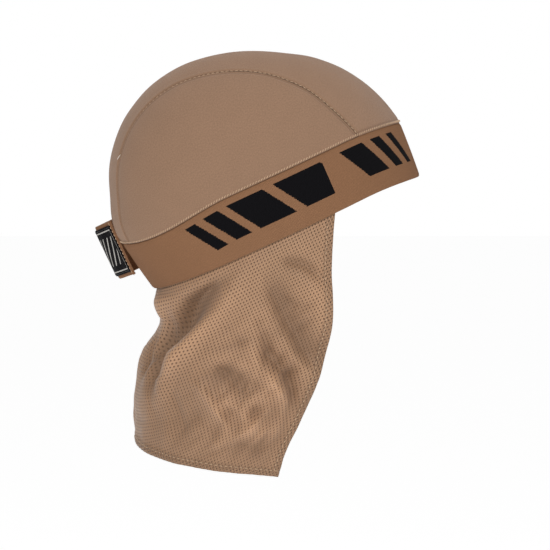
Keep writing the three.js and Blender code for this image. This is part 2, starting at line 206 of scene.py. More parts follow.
def inset_ring(around, form_height, inset, height):
    ring = form_ring(around, form_height)
    normal = form_normal(ring)
    normal[..., 2] = 0
    ring = ring - unit(normal) * np.asarray(inset, float)[..., None]
    ring[..., 2] = height
    return ring


def turn_of(around):
    """A turn from the face without its side, from 0 to 180."""
    return np.abs(np.mod(np.asarray(around, float) + 180, 360) - 180)


def band_bottom(around):
    turn = turn_of(around)
    sway = NAPE_RISE * nearness(180 - turn, NAPE_SPAN) - FRONT_DIP * nearness(turn, DIP_SPAN)
    return sway - BAND_SHOWN


def seam_height(around):
    """The line where the crown ends on the headband."""
    dip = SIDE_DIP * nearness(np.abs(turn_of(around) - SIDE_DIP_TURN), SIDE_DIP_SPAN)
    return band_bottom(around) + BAND_SHOWN - dip


def band_taper(around):
    """How far the headband's face leans in from the seam to its lower edge."""
    return BAND_TAPER + (NAPE_TAPER - BAND_TAPER) * nearness(180 - turn_of(around), NAPE_SPAN)


def tilted(p):
    """From the headband's frame to upright axes, about its middle."""
    c, s = math.cos(RING_TILT), math.sin(RING_TILT)
    x, y, z = p[..., 0], p[..., 1], p[..., 2]
    return points(x, y * c + z * s, z * c - y * s)


def crown_apex():
    """The highest point of the crown's inside, on its centre line."""
    line = form_point(0, np.arange(30, 150.1, 0.25))
    line = tilted(line - form_normal(line) * CROWN_WALL)
    return line[np.argmax(line[:, 2])]


BAND_MIDDLE = -crown_apex()


def placed(p):
    """From the headband's frame to the object's, whose origin is inside the crown's top."""
    return tilted(p) + BAND_MIDDLE


def around_of(p):
    return np.degrees(np.arctan2(p[..., 0], -p[..., 1]))


def panel_edge(turn):
    return read(CENTRE_PANEL, "width", turn) * HEAD_WIDTH / 2


def end_turn(share, extra, at_nape):
    """The turn at which a line across the crown ends on the seam line."""
    share = np.asarray(share, float)
    low, high = np.zeros(share.shape), np.full(share.shape, 60.0)
    for _ in range(HALVINGS):
        turn = (low + high) / 2
        real = 180 - turn if at_nape else turn
        spot = form_point(share * panel_edge(real) + extra, real)
        under = spot[..., 2] < seam_height(around_of(spot))
        low, high = np.where(under, turn, low), np.where(under, high, turn)
    return 180 - low if at_nape else low


def panel_point(share, extra, along):
    share, along = np.broadcast_arrays(np.asarray(share, float), np.asarray(along, float))
    first, last = end_turn(share, extra, False), end_turn(share, extra, True)
    turn = first + (last - first) * along
    return form_point(share * panel_edge(turn) + extra, turn)


def side_panel_point(along, up):
    """The left side panel: along from the face to the nape, up from the seam line."""
    along, up = np.broadcast_arrays(np.asarray(along, float), np.asarray(up, float))
    top = panel_point(1.0, CLEARANCE, along)
    ends = panel_point(1.0, CLEARANCE, np.array([0.0, 1.0]))
    front, nape = around_of(ends)
    around = front + (nape - front) * along
    foot = form_ring(around, seam_height(around))
    middle = np.array([0, 0, -EQUATOR_DROP])
    start, stop = unit(foot - middle), unit(top - middle)
    angle = np.arccos(np.clip((start * stop).sum(-1), -1, 1))[..., None]
    direction = start * np.sin((1 - up[..., None]) * angle) + stop * np.sin(up[..., None] * angle)
    closed = ((along <= 0) | (along >= 1))[..., None]
    return np.where(closed, top, form_along(np.where(closed, stop, direction)))


def band_point(around, height, inset):
    """A point of the headband's face, at a height in its frame."""
    return inset_ring(around, seam_height(around), inset, height)


def band_face(around, down):
    """The headband's outside, from the seam (0) to its lower edge (1)."""
    seam, bottom = seam_height(around), band_bottom(around)
    inset = BAND_INSET + (band_taper(around) - BAND_INSET) * down
    return band_point(around, seam + (bottom - seam) * down, inset)


def flap_top(around, rise):
    """The flap's line inside the headband, some way up from the band's lower edge.
    around runs from the face towards the wearer's right."""
    height = band_bottom(around) + rise
    lean = band_taper(around) + (BAND_INSET - band_taper(around)) * rise / BAND_SHOWN
    inset = lean + BAND_WALL + TUCK_EASE
    return placed(inset_ring(-around, seam_height(around), inset, height))


FRONT_TURN = FLAP_OPENING / 2
FRONT_TOP = flap_top(np.array(FRONT_TURN), 0.0)
NAPE_TOP = flap_top(np.array(180.0), 0.0)


def flap_fall(around, down):
    """The flap without its folds, and how far the cloth drops at that turn."""
    around, down = np.broadcast_arrays(np.asarray(around, float), np.asarray(down, float))
    top = flap_top(around, 0.0)
    back = (top[..., 1] - FRONT_TOP[1]) / (NAPE_TOP[1] - FRONT_TOP[1])
    front_move = read(FLAP_ROWS, "front", down) * FLAP_FRONT_DROP
    nape_move = read(FLAP_ROWS, "nape", down) * FLAP_REAR_DROP
    drop = FLAP_FRONT_DROP + (FLAP_REAR_DROP - FLAP_FRONT_DROP) * back
    y = top[..., 1] + front_move + (nape_move - front_move) * back
    x = top[..., 0] * read(FLAP_ROWS, "width", down)
    return points(x, y, top[..., 2] - drop * down), drop


def flap_normal(around, down):
    across = flap_fall(around + 1, down)[0] - flap_fall(around - 1, down)[0]
    along = flap_fall(around, down + 0.01)[0] - flap_fall(around, down - 0.01)[0]
    return unit(np.cross(across, along))


# Folds of the flap: the path of each on the cloth (turn from the face towards the
# wearer's right, share of the drop), then its width and depth as shares of the named
# fold sizes. A negative depth is a valley. A last number makes one side narrower.
FOLDS = (
    (((124, 0.07), (141, 0.166), (157, 0.33), (155, 0.56)), 0.6, -1.7, 0.35),
    (((117, 0.13), (131, 0.24), (142, 0.42), (151, 0.62)), 0.65, 0.9),
    (((160, 0.04), (162, 0.2)), 0.9, 0.6),
    (((171, 0.33), (168, 0.54)), 0.35, -0.9),
    (((97, 0.19), (87.5, 0.35), (72, 0.53)), 0.5, -1.1, 0.3),
    (((79, 0.12), (64, 0.45)), 0.5, 0.4),
    (((96.6, 0.475), (82, 0.593), (71, 0.72)), 0.3, -1.1, 0.2),
    (((102, 0.48), (87.5, 0.6), (77, 0.7)), 0.35, 0.9),
    (((119, 0.51), (111, 0.57), (103, 0.64)), 0.42, -0.9),
    (((110, 0.45), (91, 0.56)), 0.22, -0.4),
    (((107, 0.68), (93, 0.66)), 0.5, 0.5),
    (((112, 0.66), (101, 0.72), (90, 0.8)), 0.24, 0.3),
    (((100, 0.6), (90, 0.64), (79, 0.76)), 0.22, -0.4),
    (((88, 0.42), (82, 0.5), (74, 0.57)), 0.22, 0.28),
    (((118, 0.8), (104, 0.9)), 0.24, 0.26),
    (((125, 0.59), (115, 0.69), (105.5, 0.79)), 0.28, 0.7),
    (((121, 0.6), (101, 0.79)), 0.28, -0.45),
    (((127, 0.71), (108, 0.86)), 0.42, -0.3),
    (((97.6, 0.85), (84.3, 0.715)), 0.26, 0.36),
    (((102, 0.81), (86.5, 0.69)), 0.35, -0.28),
    (((96, 0.92), (84, 0.88), (76, 0.86)), 0.5, -0.6),
    (((92, 0.93), (80, 0.8)), 0.22, 0.22),
    (((76, 0.55), (68, 0.6)), 0.24, 0.26),
    (((140, 0.62), (128, 0.82)), 0.3, -0.3),
    (((90, 0.26), (84, 0.3), (76, 0.32)), 0.2, -0.3),
    (((89, 0.1), (79, 0.15), (66, 0.25)), 0.3, -0.8),
    (((104, 0.3), (95, 0.46), (88, 0.52)), 0.2, -0.4),
    (((120, 0.3), (108, 0.42)), 0.3, -0.35),
    (((205, 0.15), (212, 0.75)), 0.8, -0.9),
    (((237, 0.15), (224, 0.7)), 0.7, -1.3, -0.3),
    (((246, 0.2), (236, 0.8)), 0.7, 0.8),
    (((268, 0.25), (278, 0.42), (290, 0.6)), 0.45, -1.1, 0.3),
    (((262, 0.5), (272, 0.85)), 0.5, 0.7),
    (((258, 0.62), (246, 0.8)), 0.25, -0.6),
    (((276, 0.66), (266, 0.86)), 0.25, -0.5),
    (((184, 0.4), (186, 0.95)), 0.9, 0.5),
)
CRISP_WIDTH = 0.45
CRISP_POWER, CRISP_DEPTH = 1.35, 1.25
SOFT_POWER, SOFT_DEPTH = 2, 1.1
FOLD_END = 0.45
STEEP_REACH = 3.0
FLAT_SHARE = 0.1
CALM_FROM, CALM_TO = 3.0, 18.0
PER_TURN = math.radians(1) * (HEAD_LENGTH + HEAD_WIDTH) / 4


def calmed(to_edge, least):
    """A factor that lets creases die away towards the hems."""
    return least + (1 - least) * smooth(to_edge, CALM_FROM, CALM_TO)


def fold_depth(around, down, drop):
    """How far the folds move the cloth outwards. It lies flat under the headband."""
    depth = np.zeros(np.shape(around))
    to_front = np.minimum(around - FRONT_TURN, 360 - FRONT_TURN - around) * PER_TURN
    calm = calmed(np.minimum(to_front, (1 - down) * drop), 0.25)
    for path, fold_width, fold_height, *steep in FOLDS:
        crease = np.zeros(np.shape(around))
        crisp = fold_width < CRISP_WIDTH
        power, deeper = (CRISP_POWER, CRISP_DEPTH * calm) if crisp else (SOFT_POWER, SOFT_DEPTH)
        for number, (start, end) in enumerate(zip(path, path[1:])):
            run_x, run_y = (end[0] - start[0]) * PER_TURN, (end[1] - start[1]) * drop
            x, y = (around - start[0]) * PER_TURN, (down - start[1]) * drop
            share = np.clip((x * run_x + y * run_y) / (run_x**2 + run_y**2), 0, 1)
            side = np.tanh((x * run_y - y * run_x) / np.hypot(run_x, run_y) / STEEP_REACH)
            width = fold_width * FOLD_WIDTH * (1 - sum(steep) * side)
            away = np.hypot(x - run_x * share, y - run_y * share) / width
            along = np.clip((number + share) / (len(path) - 1), 0, 1)
            fade = FOLD_END + (1 - FOLD_END) * np.sqrt(np.sin(np.pi * along) + 1e-9)
            crease = np.maximum(crease, fade * np.exp(-(away**power)))
        depth += fold_height * FOLD_DEPTH * crease * deeper
    return depth * smooth(down, 0, FLAT_SHARE)


def ripple(u, v, size, seed=0.0):
    """Soft unevenness between -1 and 1, for two lengths and a wavelength in millimetres."""
    a = np.sin(2 * np.pi * u / size + seed + 1.3 * np.sin(2 * np.pi * v / (size * 1.7) + seed))
    b = np.sin(2 * np.pi * v / (size * 1.3) + 2 * seed + 1.1 * np.sin(2 * np.pi * u / (size * 2.1)))
    return (a + b) / 2


def gathered(share, pull):
    """Moves evenly spaced shares from 0 to 1 towards both ends."""
    x = 2 * share - 1
    return ((1 - pull) * x + pull * np.sin(np.pi * x / 2)) / 2 + 0.5


def run_lengths(where, axis):
    """Lengths along the grid's lines, from the first row or column."""
    steps = np.linalg.norm(np.diff(where, axis=axis), axis=-1)
    start = np.zeros_like(np.take(steps, [0], axis=axis))
    return np.concatenate([start, np.cumsum(steps, axis=axis)], axis=axis)


# Making pieces
WELD = 0.00002
THREAD_BEND = 0.45


def start_clean():
    """Leaves edit mode and deselects everything."""
    if bpy.context.object and bpy.context.object.mode != "OBJECT":
        bpy.ops.object.mode_set(mode="OBJECT")
    bpy.ops.object.select_all(action="DESELECT")


def cloth_grid(name, columns, rows, place, middle):
    """A grid whose points place(s, t) puts on the cloth, t from the top down. Its UV map
    is in millimetres, and its faces point away from the middle."""
    start_clean()
    bpy.ops.mesh.primitive_grid_add(x_subdivisions=columns, y_subdivisions=rows, size=2)
    piece = bpy.context.object
    piece.name = piece.data.name = name
    mesh = piece.data
    flat = np.empty(len(mesh.vertices) * 3)
    mesh.vertices.foreach_get("co", flat)
    flat = flat.reshape(rows + 1, columns + 1, 3)
    where, lengths, *marks = place((flat[..., 0] + 1) / 2, (1 - flat[..., 1]) / 2)
    lengths = lengths.reshape(-1, 2)
    for label, values in marks:
        mark = mesh.attributes.new(label, "FLOAT", "POINT")
        mark.data.foreach_set("value", np.ascontiguousarray(values, np.float32).ravel())
    mesh.vertices.foreach_set("co", (where * MM).ravel())
    corners = np.empty(len(mesh.loops), int)
    mesh.loops.foreach_get("vertex_index", corners)
    mesh.uv_layers[0].name = "cloth"
    mesh.uv_layers[0].data.foreach_set("uv", lengths[corners].astype(np.float32).ravel())
    mesh.update()
    outward = sum((p.center - Vector(middle)).dot(p.normal) * p.area for p in mesh.polygons)
    bpy.ops.object.mode_set(mode="EDIT")
    bpy.ops.mesh.select_all(action="SELECT")
    bpy.ops.mesh.remove_doubles(threshold=WELD)
    if outward < 0:
        bpy.ops.mesh.flip_normals()
    bpy.ops.object.mode_set(mode="OBJECT")
    return piece


def face_outwards():
    """Turns the active mesh's faces outwards."""
    bpy.ops.object.mode_set(mode="EDIT")
    bpy.ops.mesh.select_all(action="SELECT")
    bpy.ops.mesh.normals_make_consistent(inside=False)
    bpy.ops.object.mode_set(mode="OBJECT")


def thicken(piece, wall, angle=60):
    """Gives the cloth its thickness inwards, and smooth faces."""
    shell = piece.modifiers.new("wall", "SOLIDIFY")
    shell.thickness = wall * MM
    shell.offset = -1
    shell.use_quality_normals = True
    bpy.ops.object.modifier_apply(modifier=shell.name)
    bpy.ops.object.shade_smooth_by_angle(angle=math.radians(angle))


def finish_piece(piece, material, nodes=()):
    piece.data.materials.clear()
    piece.data.materials.append(material)
    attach(piece, "root")
    if nodes:
        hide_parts(*nodes)


def cloth_piece(name, grid, place, middle, wall, material, nodes):
    """A piece of cloth with its thickness and finish, and the solids that it replaces."""
    piece = cloth_grid(name, *grid, place, middle)
    thicken(piece, wall)
    finish_piece(piece, material, nodes)
    return piece


def stitches(name, spots, ahead, out, length, width):
    """One mesh of many short threads: where each lies, where it points and its outside."""
    start_clean()
    bpy.ops.mesh.primitive_uv_sphere_add(segments=8, ring_count=6, radius=1)
    sewn = bpy.context.object
    sewn.name = sewn.data.name = name
    mesh = sewn.data
    ball = np.array([v.co[:] for v in mesh.vertices])
    faces = [tuple(p.vertices) for p in mesh.polygons]
    ball = ball[:, [2, 1, 0]] * np.array([length / 2, width / 2, width / 2])
    ahead, out = unit(ahead), unit(out)
    side = unit(np.cross(out, ahead))
    bend = -(ball[:, 0] / (length / 2)) ** 2 * width * THREAD_BEND
    where = (
        spots[:, None, :]
        + ahead[:, None, :] * ball[None, :, 0, None]
        + side[:, None, :] * ball[None, :, 1, None]
        + out[:, None, :] * (ball[None, :, 2, None] + bend[None, :, None])
    )
    count = len(ball)
    many = [tuple(i + n * count for i in face) for n in range(len(spots)) for face in faces]
    mesh.clear_geometry()
    mesh.from_pydata((where.reshape(-1, 3) * MM).tolist(), [], many)
    mesh.update()
    face_outwards()
    bpy.ops.object.shade_smooth()
    return sewn


def lengths_along(line):
    """The length from a line's start to each of its points."""
    steps = np.linalg.norm(np.diff(line, axis=0), axis=1)
    return np.concatenate([[0], np.cumsum(steps)])


def even_marks(line, pitch):
    """Marks along a line at an even pitch, as places between its points."""
    length = lengths_along(line)
    marks = np.arange(pitch / 2, length[-1], pitch)
    return np.interp(marks, length, np.arange(len(line)))


def at_places(values, places):
    """A row of points read between its entries."""
    index = np.arange(len(values))
    return np.stack([np.interp(places, index, values[:, k]) for k in range(3)], -1)


def row_of_stitches(name, line, normals, pitch, length, width, turn=0.0, zigzag=0.0):
    """Stitches along a line of cloth, turned against it, or leaning to and fro."""
    places = even_marks(line, pitch)
    spots = at_places(line, places)
    ahead = unit(at_places(np.gradient(line, axis=0), places))
    out = unit(at_places(normals, places))
    side = np.cross(out, ahead)
    lean = math.radians(turn) + math.radians(zigzag) * np.where(np.arange(len(places)) % 2, 1, -1)
    ahead = ahead * np.cos(lean)[:, None] + side * np.sin(lean)[:, None]
    return stitches(name, spots, ahead, out, length, width)


def joined(name, parts):
    start_clean()
    for part in parts:
        part.select_set(True)
    bpy.context.view_layer.objects.active = parts[0]
    bpy.ops.object.join()
    piece = bpy.context.object
    piece.name = piece.data.name = name
    return piece


# Shader node groups and materials
def feed(tree, socket, source):
    """Gives a socket a number or a colour, or links another socket to it."""
    if isinstance(source, bpy.types.NodeSocket):
        tree.links.new(source, socket)
    elif isinstance(source, (int, float)):
        socket.default_value = source
    else:
        socket.default_value = (*source[:3], 1)[:len(socket.default_value)]


def math_node(tree, operation, *sources):
    node = tree.nodes.new("ShaderNodeMath")
    node.operation = operation
    for socket, source in zip(node.inputs, sources):
        feed(tree, socket, source)
    return node.outputs[0]


def remapped(tree, value, source_range, target_range, kind="LINEAR"):
    """A value moved from one range to another, and kept inside it."""
    node = tree.nodes.new("ShaderNodeMapRange")
    node.interpolation_type = kind
    labels = ("From Min", "From Max", "To Min", "To Max")
    for label, number in zip(labels, (*source_range, *target_range)):
        node.inputs[label].default_value = number
    tree.links.new(value, node.inputs["Value"])
    return node.outputs[0]


def two_lengths(tree, vector):
    """The first two parts of a vector."""
    node = tree.nodes.new("ShaderNodeSeparateXYZ")
    tree.links.new(vector, node.inputs[0])
    return node.outputs[0], node.outputs[1]


def new_group(name, inputs, outputs):
    tree = bpy.data.node_groups.new(name, "ShaderNodeTree")
    for label, kind, default in inputs:
        socket = tree.interface.new_socket(label, in_out="INPUT", socket_type=kind)
        if default is not None:
            socket.default_value = default
    for label, kind in outputs:
        tree.interface.new_socket(label, in_out="OUTPUT", socket_type=kind)
    return tree, tree.nodes.new("NodeGroupInput"), tree.nodes.new("NodeGroupOutput")


def fibre_group():
    """Uneven yarn: soft blotches and fine flecks, as a factor round 1."""
    tree, ins, outs = new_group(
        "Fibre variation",
        [
            ("Vector", "NodeSocketVector", None),
            ("Blotch size", "NodeSocketFloat", 20.0),
            ("Blotch depth", "NodeSocketFloat", 0.08),
            ("Fleck size", "NodeSocketFloat", 0.8),
            ("Fleck depth", "NodeSocketFloat", 0.15),
        ],
        [("Factor", "NodeSocketFloat")],
    )
    calc = partial(math_node, tree)
    total = 1.0
    for size, depth, detail in (("Blotch size", "Blotch depth", 3), ("Fleck size", "Fleck depth", 2)):
        noise = tree.nodes.new("ShaderNodeTexNoise")
        noise.inputs["Detail"].default_value = detail
        tree.links.new(ins.outputs["Vector"], noise.inputs["Vector"])
        tree.links.new(calc("DIVIDE", 1.0, ins.outputs[size]), noise.inputs["Scale"])
        centred = calc("SUBTRACT", noise.outputs[0], 0.5)
        deep = calc("MULTIPLY", centred, ins.outputs[depth])
        total = calc("MULTIPLY_ADD", deep, 2.0, total)
    tree.links.new(total, outs.inputs["Factor"])
    return tree


def rib_group():
    """Ribs and picks of a knit or a woven elastic, as a height from 0 to 1."""
    tree, ins, outs = new_group(
        "Rib weave",
        [
            ("Vector", "NodeSocketVector", None),
            ("Rib pitch", "NodeSocketFloat", 1.0),
            ("Pick pitch", "NodeSocketFloat", 1.0),
        ],
        [("Height", "NodeSocketFloat")],
    )
    calc = partial(math_node, tree)
    x, y = two_lengths(tree, ins.outputs["Vector"])
    rib = calc("DIVIDE", x, ins.outputs["Rib pitch"])
    pick = calc("DIVIDE", y, ins.outputs["Pick pitch"])
    shifted = calc("MULTIPLY_ADD", calc("MODULO", calc("FLOOR", rib), 2.0), 0.5, pick)
    across, along = (
        calc("ABSOLUTE", calc("SINE", calc("MULTIPLY", turn, math.pi)))
        for turn in (rib, shifted)
    )
    height = calc("MULTIPLY", across, calc("MULTIPLY_ADD", along, 0.6, 0.4))
    tree.links.new(height, outs.inputs["Height"])
    return tree


HOLE_RIM = (0.6, 1.35)


def perforation_group():
    """Rows of small holes, each row shifted by half a pitch: 1 in a hole and 0 between."""
    tree, ins, outs = new_group(
        "Perforations",
        [
            ("Vector", "NodeSocketVector", None),
            ("Pitch", "NodeSocketFloat", 2.4),
            ("Row pitch", "NodeSocketFloat", 2.1),
            ("Hole size", "NodeSocketFloat", 0.9),
        ],
        [("Hole", "NodeSocketFloat")],
    )
    calc = partial(math_node, tree)
    x, y = two_lengths(tree, ins.outputs["Vector"])
    row = calc("DIVIDE", y, ins.outputs["Row pitch"])
    shift = calc("MULTIPLY", calc("MODULO", calc("FLOOR", row), 2.0), 0.5)
    place = calc("ADD", calc("DIVIDE", x, ins.outputs["Pitch"]), shift)
    x = calc("SUBTRACT", calc("FRACT", place), 0.5)
    y = calc("SUBTRACT", calc("FRACT", row), 0.5)
    x = calc("MULTIPLY", x, ins.outputs["Pitch"])
    y = calc("MULTIPLY", y, ins.outputs["Row pitch"])
    away = calc("SQRT", calc("MULTIPLY_ADD", x, x, calc("MULTIPLY", y, y)))
    share = calc("DIVIDE", away, calc("MULTIPLY", ins.outputs["Hole size"], 0.5))
    hole = remapped(tree, share, HOLE_RIM, (1.0, 0.0), "SMOOTHSTEP")
    tree.links.new(hole, outs.inputs["Hole"])
    return tree


GROUPS = {
    "Fibre variation": fibre_group,
    "Rib weave": rib_group,
    "Perforations": perforation_group,
}


def use_group(tree, name, vector, **values):
    """A shared group's node with its own values. The group is built when first used."""
    node = tree.nodes.new("ShaderNodeGroup")
    node.node_tree = bpy.data.node_groups.get(name) or GROUPS[name]()
    tree.links.new(vector, node.inputs["Vector"])
    for label, value in values.items():
        node.inputs[label.replace("_", " ").capitalize()].default_value = value
    return node.outputs[0]


def new_material(name, roughness, sheen=0.0):
    material = bpy.data.materials.new(name)
    material.use_nodes = True
    shader = material.node_tree.nodes["Principled BSDF"]
    shader.inputs["Roughness"].default_value = roughness
    shader.inputs["Sheen Weight"].default_value = sheen
    shader.inputs["Sheen Roughness"].default_value = 0.5
    shader.inputs["Specular IOR Level"].default_value = 0.12
    return material, material.node_tree, shader


def cloth_lengths(tree):
    node = tree.nodes.new("ShaderNodeUVMap")
    node.uv_map = "cloth"
    return node.outputs[0]


def attribute(tree, name):
    node = tree.nodes.new("ShaderNodeAttribute")
    node.attribute_name = name
    return node.outputs["Fac"]


def mixed(tree, factor, first, second):
    """A colour between two."""
    node = tree.nodes.new("ShaderNodeMix")
    node.data_type = "RGBA"
    for socket, source in zip((node.inputs[0], node.inputs[6], node.inputs[7]), (factor, first, second)):
        feed(tree, socket, source)
    return node.outputs[2]


def shaded(tree, colour, factor):
    """A colour made lighter or darker by a factor that changes over the surface."""
    node = tree.nodes.new("ShaderNodeVectorMath")
    node.operation = "SCALE"
    feed(tree, node.inputs[0], colour)
    feed(tree, node.inputs["Scale"], factor)
    return node.outputs[0]


def raised(tree, shader, height, distance):
    """Fine relief from a height between 0 and 1, as deep as a distance."""
    node = tree.nodes.new("ShaderNodeBump")
    node.inputs["Distance"].default_value = distance * MM
    tree.links.new(height, node.inputs["Height"])
    tree.links.new(node.outputs[0], shader.inputs["Normal"])


# Painted shade in the seams and above the crown's rolled hem
GROOVE_PAINTED_SHADE = 0.24


def crown_material():
    looks = bpy.context.scene.wrap_looks
    material, tree, shader = new_material("crown_knit", 0.95, 0.12)
    calc = partial(math_node, tree)
    uv = cloth_lengths(tree)
    ribs = use_group(tree, "Rib weave", uv, rib_pitch=0.75, pick_pitch=0.6)
    fibre = use_group(tree, "Fibre variation", uv, blotch_size=14, blotch_depth=0.05,
                      fleck_size=1.0, fleck_depth=0.26)
    factor = calc("MULTIPLY", fibre, calc("MULTIPLY_ADD", ribs, 0.16, 0.9))
    # Painted shade in the seams' and the hem's grooves
    sunk = calc("MULTIPLY_ADD", attribute(tree, "painted_groove_shade"), -GROOVE_PAINTED_SHADE, 1.0)
    factor = calc("MULTIPLY", factor, sunk)
    tree.links.new(shaded(tree, looks.crown_colour, factor), shader.inputs["Base Color"])
    raised(tree, shader, calc("MULTIPLY", ribs, fibre), 0.12)
    return material


def elastic_ground(tree, shader, uv, colour):
    """The elastic's ribbed ground: its colour, and its relief on the shader."""
    calc = partial(math_node, tree)
    ribs = use_group(tree, "Rib weave", uv, rib_pitch=0.9, pick_pitch=1.1)
    fibre = use_group(tree, "Fibre variation", uv, blotch_size=18, blotch_depth=0.05,
                      fleck_size=0.9, fleck_depth=0.2)
    factor = calc("MULTIPLY", fibre, calc("MULTIPLY_ADD", ribs, 0.22, 0.86))
    raised(tree, shader, calc("MULTIPLY", ribs, fibre), 0.16)
    return shaded(tree, colour, factor), factor


# Stripes of the headband: where each begins and ends along the band's upper edge, in
# millimetres from the middle of the face. They lean towards the face as they go down.
BAND_STRIPES = ((38, 44), (51, 60), (67, 84), (98.5, 130.5), (137, 162), (167, 178.5), (184, 192))
STRIPE_TOP = 3.6
STRIPE_FOOT = 25.3
STRIPE_LEAN = 0.64
STRIPE_SQUARE = 97.5
STRIPE_REACH = 250.0


def stripe_mask(tree, uv):
    """1 on the headband's woven stripes, whose edges step with the weave."""
    calc = partial(math_node, tree)
    looks = bpy.context.scene.wrap_looks
    x, y = two_lengths(tree, uv)
    step = looks.stripe_step / MM
    u, v = calc("SNAP", calc("ABSOLUTE", x), step), calc("SNAP", y, step)
    lean = calc("MULTIPLY_ADD", calc("SUBTRACT", v, STRIPE_TOP), STRIPE_LEAN, u)
    ramp = tree.nodes.new("ShaderNodeValToRGB")
    ramp.color_ramp.interpolation = "CONSTANT"
    stops = [(0.0, 0)] + [stop for low, high in BAND_STRIPES for stop in ((low, 1), (high, 0))]
    for i, (place, on) in enumerate(stops):
        mark = ramp.color_ramp.elements[0] if i == 0 else ramp.color_ramp.elements.new(place / STRIPE_REACH)
        mark.color = (on, on, on, 1)
    ramp.color_ramp.elements.remove(ramp.color_ramp.elements[-1])
    tree.links.new(calc("DIVIDE", lean, STRIPE_REACH), ramp.inputs[0])
    inside = calc("MULTIPLY", calc("GREATER_THAN", v, STRIPE_TOP), calc("LESS_THAN", v, STRIPE_FOOT))
    square = calc("MAXIMUM", calc("GREATER_THAN", u, STRIPE_SQUARE), calc("LESS_THAN", lean, STRIPE_SQUARE))
    return calc("MULTIPLY", calc("MULTIPLY", ramp.outputs[0], inside), square)


def band_material():
    looks = bpy.context.scene.wrap_looks
    material, tree, shader = new_material("band_elastic", 0.9, 0.0)
    uv = cloth_lengths(tree)
    ground, factor = elastic_ground(tree, shader, uv, looks.band_colour)
    black = shaded(tree, looks.stripe_colour, factor)
    tree.links.new(mixed(tree, stripe_mask(tree, uv), ground, black), shader.inputs["Base Color"])
    return material


def strap_material():
    material, tree, shader = new_material("strap_elastic", 0.9, 0.0)
    colour = bpy.context.scene.wrap_looks.band_colour
    ground, _ = elastic_ground(tree, shader, cloth_lengths(tree), colour)
    tree.links.new(ground, shader.inputs["Base Color"])
    return material


# Painted shade and light on the flap: how the "fold" attribute darkens or lightens the colour, and how far
# the holes show in it
PAINTED_SHADE_DEPTHS, PAINTED_SHADE_FACTORS = (-6.0, 6.0), (0.62, 1.2)
HEM_DARKER, HEM_SPOTS = 0.24, 0.45
HOLE_RISE, HOLE_START, HOLE_MOST = 1.6, -0.56, 0.92


def flap_material():
    """Perforated cloth. The hems are darker, with light spots of a second layer. The
    folds' valleys and the lower flap get painted shade, the ridges painted light, and the holes show less
    in that painted shade."""
    looks = bpy.context.scene.wrap_looks
    material, tree, shader = new_material("flap_mesh", 0.55, 0.1)
    calc = partial(math_node, tree)
    shader.inputs["Specular IOR Level"].default_value = 0.3
    uv = cloth_lengths(tree)
    hem, fold = attribute(tree, "hem"), attribute(tree, "fold")
    pitch, row_pitch = looks.hole_pitch / MM, looks.hole_row / MM
    size = looks.hole_size / MM
    hole = use_group(tree, "Perforations", uv, pitch=pitch, row_pitch=row_pitch, hole_size=size)
    under = use_group(tree, "Perforations", uv, pitch=pitch * 0.93, row_pitch=row_pitch * 1.1,
                      hole_size=size * 1.2)
    doubled = calc("MULTIPLY", calc("MULTIPLY", under, hem), 0.8)
    fibre = use_group(tree, "Fibre variation", uv, blotch_size=24, blotch_depth=0.09,
                      fleck_size=0.8, fleck_depth=0.22)
    # Painted shade and light from the "fold" attribute, as a factor on the colour
    shade = remapped(tree, fold, PAINTED_SHADE_DEPTHS, PAINTED_SHADE_FACTORS)
    factor = calc("MULTIPLY", fibre, shade)
    darker = calc("MULTIPLY_ADD", hem, -HEM_DARKER, 1.0)
    factor = calc("MULTIPLY", factor, darker)
    light = calc("MULTIPLY_ADD", doubled, HEM_SPOTS, 1.0)
    cloth = shaded(tree, looks.flap_colour, calc("MULTIPLY", factor, light))
    # Painted shade: the holes show the shaded inside of the wrap as a dark colour
    dark = shaded(tree, looks.painted_hole_shade, factor)
    seen = calc("MINIMUM", calc("MULTIPLY_ADD", shade, HOLE_RISE, HOLE_START), HOLE_MOST)
    seen = calc("MULTIPLY", hole, seen)
    tree.links.new(mixed(tree, seen, cloth, dark), shader.inputs["Base Color"])
    raised(tree, shader, calc("SUBTRACT", fibre, hole), 0.35)
    return material


def thread_material(name, colour):
    material, tree, shader = new_material(name, 0.6, 0.3)
    coords = tree.nodes.new("ShaderNodeTexCoord")
    stretch = tree.nodes.new("ShaderNodeMapping")
    stretch.inputs["Scale"].default_value = (1 / MM, 1 / MM, 1 / MM)
    tree.links.new(coords.outputs["Object"], stretch.inputs["Vector"])
    fibre = use_group(tree, "Fibre variation", stretch.outputs[0], blotch_size=9, blotch_depth=0.1,
                      fleck_size=0.25, fleck_depth=0.3)
    tree.links.new(shaded(tree, colour, fibre), shader.inputs["Base Color"])
    raised(tree, shader, fibre, 0.08)
    return material


# The crown
SEAM_GAP = 0.03
# Columns and rows of each grid
SIDE_GRID, CENTRE_GRID, TAPE_GRID = (150, 72), (110, 160), (10, 120)
TAPE_WIDTH = 7.0
TAPE_START = 0.006
TAPE_GAP = 0.03
TAPE_WALL = 0.45
SEAM_RIDGE, SEAM_DITCH = 0.16, 0.7
HEM_ROLL, HEM_EDGE, HEM_DITCH = 0.12, 0.95, 0.4
HEM_ROW = 2.3
UNEVEN_DEPTH, UNEVEN_SIZE = 0.22, 31


def seam_relief(away):
    """A panel's edge curls down into the seam, behind a small ridge."""
    return SEAM_RIDGE * hump(away, 1.9, 1.1) - SEAM_DITCH * hump(away, 0, 0.7)


def hem_relief(away):
    """The crown's lower edge is rolled into a cord and sewn down just above it."""
    roll = HEM_ROLL * hump(away, 1.2, 0.6) - HEM_EDGE * hump(away, 0, 0.75)
    return roll - HEM_DITCH * hump(away, HEM_ROW, 0.7)


